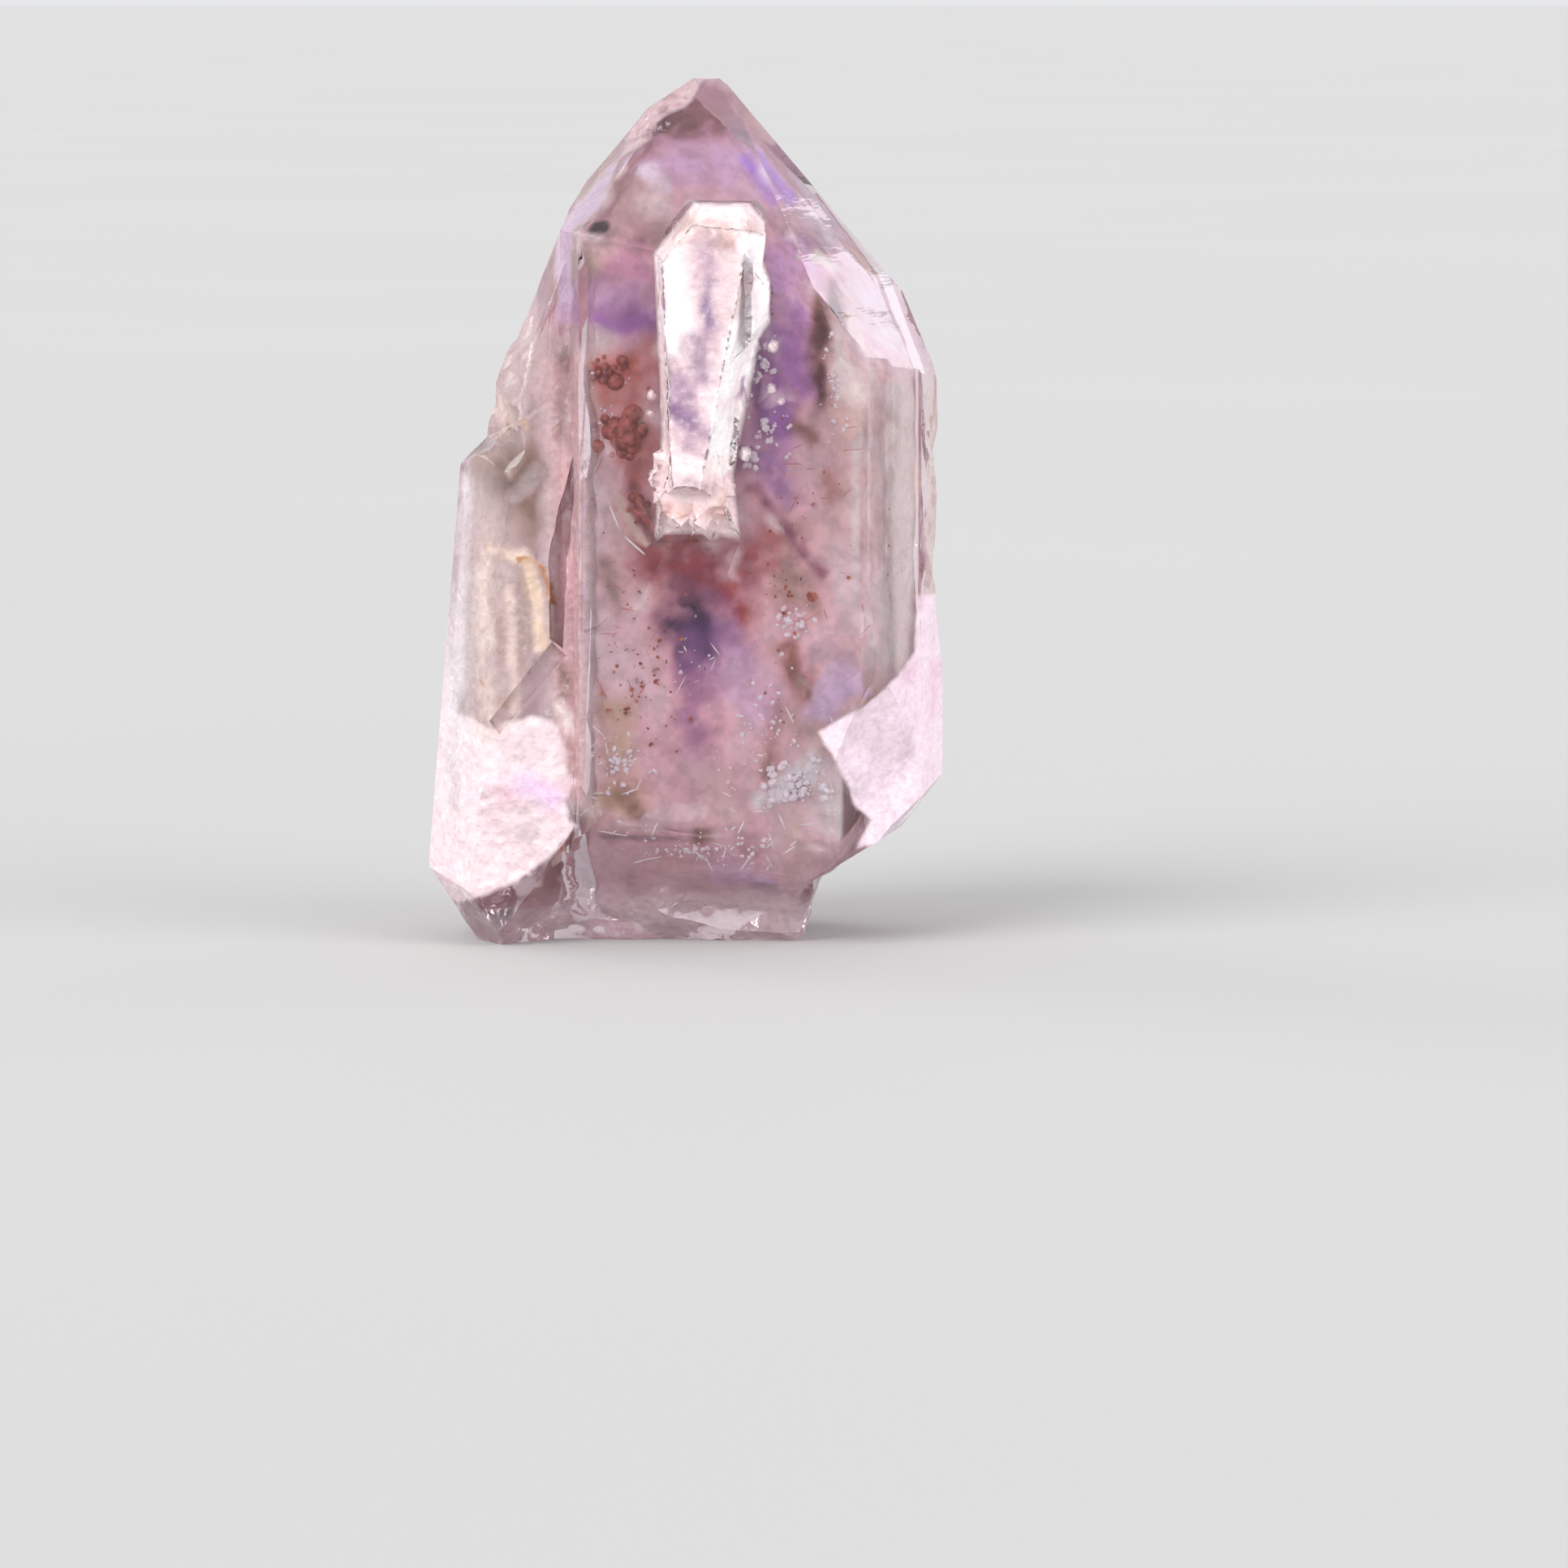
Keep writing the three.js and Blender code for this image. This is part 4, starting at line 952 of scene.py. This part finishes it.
def make_layers(tree):
    for index, (faces, inset, size, most, marks, spread) in enumerate(LAYERS):
        points, triangles = body_of(faces, inset, size)
        moved = points + shifts(points, 1.9, 3, 70 + 9 * index) * min(0.35, 0.4 * inset)
        colour, cover = haze_at(moved, normals_of(points, triangles), most, marks, spread, 80 + index)
        cover = cover * ramp(depths_in(tree, moved), *NEAR_OUTSIDE)
        core = most == 1
        used, kept = kept_faces(triangles, cover, LEAST_CORE if core else LEAST_HAZE)
        haze = np.column_stack([shown_through(colour), cover])[used]
        lumps = 1500 - 200 * index
        material = core_material(f"core_{index}") if core else haze_material(f"haze_{index}", lumps)
        piece_from(f"layer_{index}", moved[used], kept, material, colours={"haze": haze})


# Inclusions: lumps, crumbs, flakes and veils inside, a few veils being painted shade, reflection and glint.
# This much quartz at least covers a grain.
GRAIN_CLEARANCE = 0.08


def unit_ball(detail):
    """The points and triangles of a ball of radius 1."""
    ball = bmesh.new()
    bmesh.ops.create_icosphere(ball, subdivisions=detail, radius=1)
    return taken_from(ball)


def unit_flake():
    """The points and triangles of a thin six-sided plate about 2 across."""
    flake = bmesh.new()
    turn = Matrix.Rotation(radians(30), 4, "Z")
    bmesh.ops.create_cone(flake, cap_ends=True, segments=6, radius1=1, radius2=1, depth=0.16, matrix=turn)
    bmesh.ops.triangulate(flake, faces=flake.faces[:])
    return taken_from(flake)


def turned(points, random):
    """Points turned at random about the origin."""
    basis, _ = np.linalg.qr(random.normal(size=(3, 3)))
    return points @ basis.T


def scattered(name, form, material, zones, seed, tree, squash=(1, 1, 1), smooth_turn=40):
    """Copies of a form about 2 across, scattered through zones, deep enough to stay inside the quartz."""
    random = np.random.default_rng(seed)
    all_points, all_triangles, count = [], [], 0
    for at, reach, number, small, large in zones:
        for _ in range(number):
            away = random.normal(size=3)
            away *= random.uniform(0.1, 1) / np.linalg.norm(away)
            size = small + (large - small) * random.uniform() ** 2
            shape = turned(form[0] * squash, random) * size
            place = at + away * reach
            if depths_in(tree, place[None])[0] < 1.3 * size + GRAIN_CLEARANCE:
                continue
            all_points.append(shape + place)
            all_triangles.append(form[1] + count)
            count += len(form[0])
    piece_from(name, np.vstack(all_points), np.vstack(all_triangles), material, smooth_turn)


# Where grains lie: middle, reach, how many, and the smallest and the largest radius.
HEMATITE_LUMPS = [
    ((-3.2, -4.7, 23.4), (1, 0.5, 0.8), 46, 0.1, 0.4),
    ((-2.6, -4.7, 21), (1.2, 0.5, 1.2), 80, 0.1, 0.46),
    ((-1.9, -4.9, 18), (0.5, 0.3, 1.3), 18, 0.08, 0.22),
    ((0.2, -4.7, 16.8), (1.6, 0.4, 0.7), 34, 0.08, 0.26),
    ((2.3, -4.6, 15.4), (0.7, 0.4, 1), 22, 0.08, 0.24),
]
WHITE_CRUMBS = [
    ((2.9, -5.2, 24), (0.9, 0.4, 3), 34, 0.05, 0.17),
    ((3.4, -5.1, 21), (1.2, 0.4, 1.8), 30, 0.05, 0.19),
    ((4.5, -5.1, 13.4), (1, 0.4, 0.9), 34, 0.04, 0.17),
    ((4.3, -5, 6.7), (1.7, 0.5, 1.3), 110, 0.05, 0.24),
    ((-3.3, -4.9, 22.4), (1.2, 0.4, 1.9), 26, 0.03, 0.1),
    ((-5, -4.7, 9.6), (0.8, 0.4, 0.9), 70, 0.06, 0.26),
    ((0.2, -4.7, 11.5), (1.3, 0.5, 2.4), 34, 0.03, 0.12),
    ((-2.6, -5, 7.6), (1.6, 0.4, 1.6), 80, 0.03, 0.15),
    ((3, -4.9, 9), (2.4, 0.6, 3.5), 90, 0.03, 0.13),
    ((0.5, -4.6, 4), (3.4, 0.5, 1), 90, 0.03, 0.13),
    ((6, -5, 22.6), (0.9, 0.4, 2.6), 40, 0.03, 0.14),
    ((2.7, -5.2, 19.9), (0.6, 0.3, 0.7), 16, 0.1, 0.26),
    ((1, 1, 12), (6, 4, 8), 90, 0.04, 0.16),
]
HEMATITE_FLAKES = [
    ((-4.3, -5.1, 11.8), (0.5, 0.4, 1), 16, 0.05, 0.17),
    ((-2.5, -5, 9.7), (0.35, 0.3, 0.3), 7, 0.07, 0.17),
    ((-5.2, -4.7, 3.6), (0.3, 0.3, 0.5), 8, 0.07, 0.2),
    ((5.1, -5.2, 14.4), (0.2, 0.2, 0.15), 3, 0.1, 0.24),
    ((-1.5, -5, 11.5), (2.8, 0.5, 5.5), 130, 0.03, 0.11),
    ((4, -5, 15), (2.8, 0.5, 7), 110, 0.03, 0.1),
    ((-4.2, -5, 18.6), (1.2, 0.4, 2.6), 50, 0.03, 0.1),
    ((8.3, -3, 16), (1, 1, 6), 24, 0.03, 0.1),
    ((-7.6, -4.2, 14), (1.6, 0.6, 9), 80, 0.03, 0.11),
    ((0.5, 2, 12), (6.5, 3.5, 9), 90, 0.04, 0.14),
]

# Veils: middle, half length, half width, turn in the plane from level, azimuth and lean of the way it
# faces, how thickly it covers and its colour.
VEILS = [
    # Painted dark reflection: a dark sheet below the tip.
    ((2.6, -2.6, 32.9), 1.3, 0.34, -42, 20, 10, 0.9, SHADOW),
    # Painted highlight: a bright violet glint sheet.
    ((3.2, -3.4, 31), 1.3, 0.26, -52, 40, 25, 0.95, (160, 112, 236)),
    ((-3.5, -5, 29.1), 0.66, 0.42, 30, 0, 30, 0.95, SHADOW),
    # Painted shade: two thin dark sheets in the gap above the small crystal.
    ((0.9, -4.6, 30.8), 1.1, 0.1, 8, 0, 40, 0.85, SHADOW),
    ((0.4, -4.4, 31.1), 0.7, 0.08, 20, 0, 40, 0.8, SHADOW),
    ((8.9, -3.9, 23.8), 0.7, 0.36, 70, 60, 0, 0.7, SMOKE),
    ((-2.9, -5.3, 17.6), 0.85, 0.05, -68, 0, 8, 0.98, WHITE),
    ((-2.1, -5.3, 16.45), 0.7, 0.05, -42, 0, 8, 0.98, WHITE),
    ((-1.7, -5.2, 17.7), 1.2, 0.2, -62, 0, 8, 0.7, HEMATITE),
    ((-5.4, -4.42, 15.2), 3.2, 0.24, 94, 0, 0, 0.95, CREAM),
    ((-5.35, -4.4, 14.6), 1.5, 0.26, 92, 0, 0, 0.97, OCHRE),
    ((-6.6, -5, 15.9), 1.1, 0.2, 8, 0, 0, 0.9, OCHRE),
    ((-6.5, -4.7, 23.3), 1, 0.05, 78, 0, 0, 0.95, WHITE),
    ((-1.3, -4.6, 4.75), 2.4, 0.07, 0, 0, 35, 0.45, SMOKE),
    ((0.6, -4.3, 3.9), 1, 0.05, -50, 0, 20, 0.85, WHITE),
    ((1, -4.2, 3.4), 0.8, 0.04, -70, 0, 20, 0.8, WHITE),
    ((-1.6, -4.2, 3.7), 0.9, 0.04, 20, 0, 20, 0.8, WHITE),
    ((2.6, -4.2, 3.9), 0.9, 0.05, 60, 0, 20, 0.8, WHITE),
    ((-3, -4.5, 4.9), 0.8, 0.04, -12, 0, 10, 0.8, WHITE),
    ((3.9, -4.6, 5), 1, 0.05, 48, 0, 10, 0.8, WHITE),
    ((1.6, -4.5, 4.2), 0.7, 0.04, 80, 0, 10, 0.8, WHITE),
    ((4.6, -4.9, 6.6), 1.5, 0.4, 35, -15, 20, 0.35, WHITE),
    ((-2, 2.2, 9), 3.2, 2.4, 60, 160, 15, 0.35, WHITE),
    ((3.6, 3, 15), 3.6, 2.2, 75, 200, -10, 0.35, WHITE),
    ((5.5, 1, 8), 2.6, 2, 40, 110, 20, 0.4, OCHRE),
]
VEIL_STEPS = 20

# Where many fine cracks lie: middle, reach, how many and their colour.
FINE_CRACKS = [
    ((0.5, -5, 4.4), (3.8, 0.5, 1.4), 34, WHITE),
    ((3.8, -5, 7.4), (2.2, 0.5, 2.4), 34, WHITE),
    ((-3.2, -5.1, 7.2), (1.3, 0.4, 1.8), 18, WHITE),
    ((0.6, -5.1, 12.6), (1, 0.4, 2), 12, WHITE),
    ((5.8, -5.1, 18), (1.6, 0.4, 5), 26, RED_BROWN),
    ((-3.8, -5.1, 17), (1, 0.4, 3.6), 18, RED_BROWN),
    ((-3, -5.1, 12), (1.4, 0.4, 2.6), 14, HEMATITE),
]
# The least and the most that a crack has of what stands in a veil's row between its middle and colour.
CRACK_LEAST = (0.12, 0.02, -80, -20, -10, 0.5)
CRACK_MOST = (0.55, 0.05, 80, 20, 10, 0.9)


def fine_cracks():
    """Short thin veils in the same form as VEILS."""
    random = np.random.default_rng(12)
    cracks = []
    for at, reach, count, shade in FINE_CRACKS:
        for _ in range(count):
            place = at + random.uniform(-1, 1, 3) * reach
            cracks.append((place, *random.uniform(CRACK_LEAST, CRACK_MOST), shade))
    return cracks


def make_veils(tree):
    """Thin uneven sheets in healed cracks and gaps, some of them painted shade, reflection and glint, joined
    into one mesh.
    """
    steps = np.linspace(-1, 1, VEIL_STEPS)
    flat = np.array(list(itertools.product(steps, steps)))
    start = np.arange(VEIL_STEPS**2).reshape(VEIL_STEPS, -1)[:-1, :-1].reshape(-1, 1)
    beyond = VEIL_STEPS + 1
    grid = np.vstack([start + [0, 1, beyond], start + [0, beyond, VEIL_STEPS]])
    points, triangles, hazes = [], [], []
    for index, (at, length, width, roll, azimuth, lean, thick, shade) in enumerate(VEILS + fine_cracks()):
        a, r, t = np.radians((azimuth, roll, lean))
        right = np.array([cos(a), sin(a), 0])
        out = np.array([sin(a) * cos(t), -cos(a) * cos(t), sin(t)])
        rise = np.cross(out, right)
        u = right * cos(r) + rise * sin(r)
        v = rise * cos(r) - right * sin(r)
        places = at + flat[:, :1] * length * u + flat[:, 1:] * width * v
        bend = fractal(places, 1.6, 3, 120 + index) * 0.22 + fractal(places, 0.5, 2, 160 + index) * 0.05
        points.append(places + bend[:, None] * out)
        rim = np.hypot(*flat.T) + 0.45 * fractal(places, 0.7, 3, 200 + index)
        cover = thick * ramp(1 - rim, 0.0, 0.45)
        hazes.append(np.column_stack([np.tile(shown_through(tone(shade)), (len(flat), 1)), cover]))
        triangles.append(grid + index * len(flat))
    points, triangles, hazes = np.vstack(points), np.vstack(triangles), np.vstack(hazes)
    hazes[:, 3] *= ramp(depths_in(tree, points), *NEAR_OUTSIDE)
    used, kept = kept_faces(triangles, hazes[:, 3], LEAST_HAZE)
    material = haze_material("veil", 2600, 0.3, 0.55)
    piece_from("veils", points[used], kept, material, colours={"haze": hazes[used]})


def make_inclusions(tree):
    lump = unit_ball(2)
    red = grain_material("hematite", HEMATITE, (92, 40, 36), 2600, 0.4)
    white = grain_material("crumb", WHITE, PALE_LILAC, 4200, 0.35)
    brown = grain_material("flake", (150, 70, 46), (84, 40, 32), 5200, 0.35)
    scattered("hematite_lumps", lump, red, HEMATITE_LUMPS, 3, tree)
    scattered("white_crumbs", unit_ball(1), white, WHITE_CRUMBS, 4, tree, (1, 0.8, 1.25), 20)
    scattered("hematite_flakes", unit_flake(), brown, HEMATITE_FLAKES, 5, tree)


# Floor, light and camera

def make_floor():
    """A wide pale floor."""
    reach = 60.0
    corners = [(-reach, -reach, 0), (reach, -reach, 0), (reach, reach, 0), (-reach, reach, 0)]
    mesh = bpy.data.meshes.new("floor")
    mesh.from_pydata(corners, [], [(0, 1, 2, 3)])
    nodes = Nodes("floor")
    nodes.principled(
        Base_Color=nodes.mix(nodes.noise(6, 2), tone((184, 183, 182)), tone((190, 189, 188))),
        Roughness=0.8,
    )
    mesh.materials.append(nodes.material)
    placed("floor", mesh)


def make_sun(name, toward, strength, spread, colour=(1, 1, 1)):
    """A broad soft light from the direction toward. spread is its width in degrees."""
    light = bpy.data.lights.new(name, "SUN")
    light.energy = strength
    light.angle = radians(spread)
    light.color = colour
    lamp = placed(name, light)
    lamp.location = Vector(toward)
    lamp.rotation_euler = (-Vector(toward)).to_track_quat("-Z", "Y").to_euler()


def make_lights():
    make_sun("key", (-0.55, -0.62, 0.62), 2.2, 42)
    make_sun("fill", (0.80, -0.55, 0.35), 1.4, 50)
    make_sun("back_right", (0.70, 0.70, 0.26), 0.25, 22, (0.97, 0.88, 1.0))
    make_sun("back_left", (-0.70, 0.62, 0.40), 0.5, 30)
    world = bpy.data.worlds.new("studio")
    world.use_nodes = True
    sky = world.node_tree.nodes["Background"]
    sky.inputs["Color"].default_value = (0.97, 0.98, 1.0, 1)
    sky.inputs["Strength"].default_value = 0.82
    bpy.context.scene.world = world


def make_camera():
    elevation = radians(CAMERA_ELEVATION)
    back = Vector((0, -cos(elevation), sin(elevation)))
    turn, tilt = radians(AIM_RIGHT), radians(CAMERA_ELEVATION + AIM_DOWN)
    ahead = Vector((sin(turn) * cos(tilt), cos(turn) * cos(tilt), -sin(tilt)))
    data = bpy.data.cameras.new("camera")
    data.lens = CAMERA_LENS
    data.clip_start, data.clip_end = 0.01, 200
    camera = placed("camera", data)
    camera.location = CAMERA_TARGET + back * CAMERA_DISTANCE
    camera.rotation_euler = ahead.to_track_quat("-Z", "Y").to_euler()
    bpy.context.scene.camera = camera


make_camera()
make_floor()
make_lights()
surface = make_outside()
make_layers(surface)
make_veils(surface)
make_inclusions(surface)

bpy.context.scene.view_settings.view_transform = "Standard"
cycles = bpy.context.scene.cycles
cycles.transparent_max_bounces = 12
cycles.max_bounces = 10
cycles.diffuse_bounces = 4
cycles.glossy_bounces = 4
cycles.transmission_bounces = 8
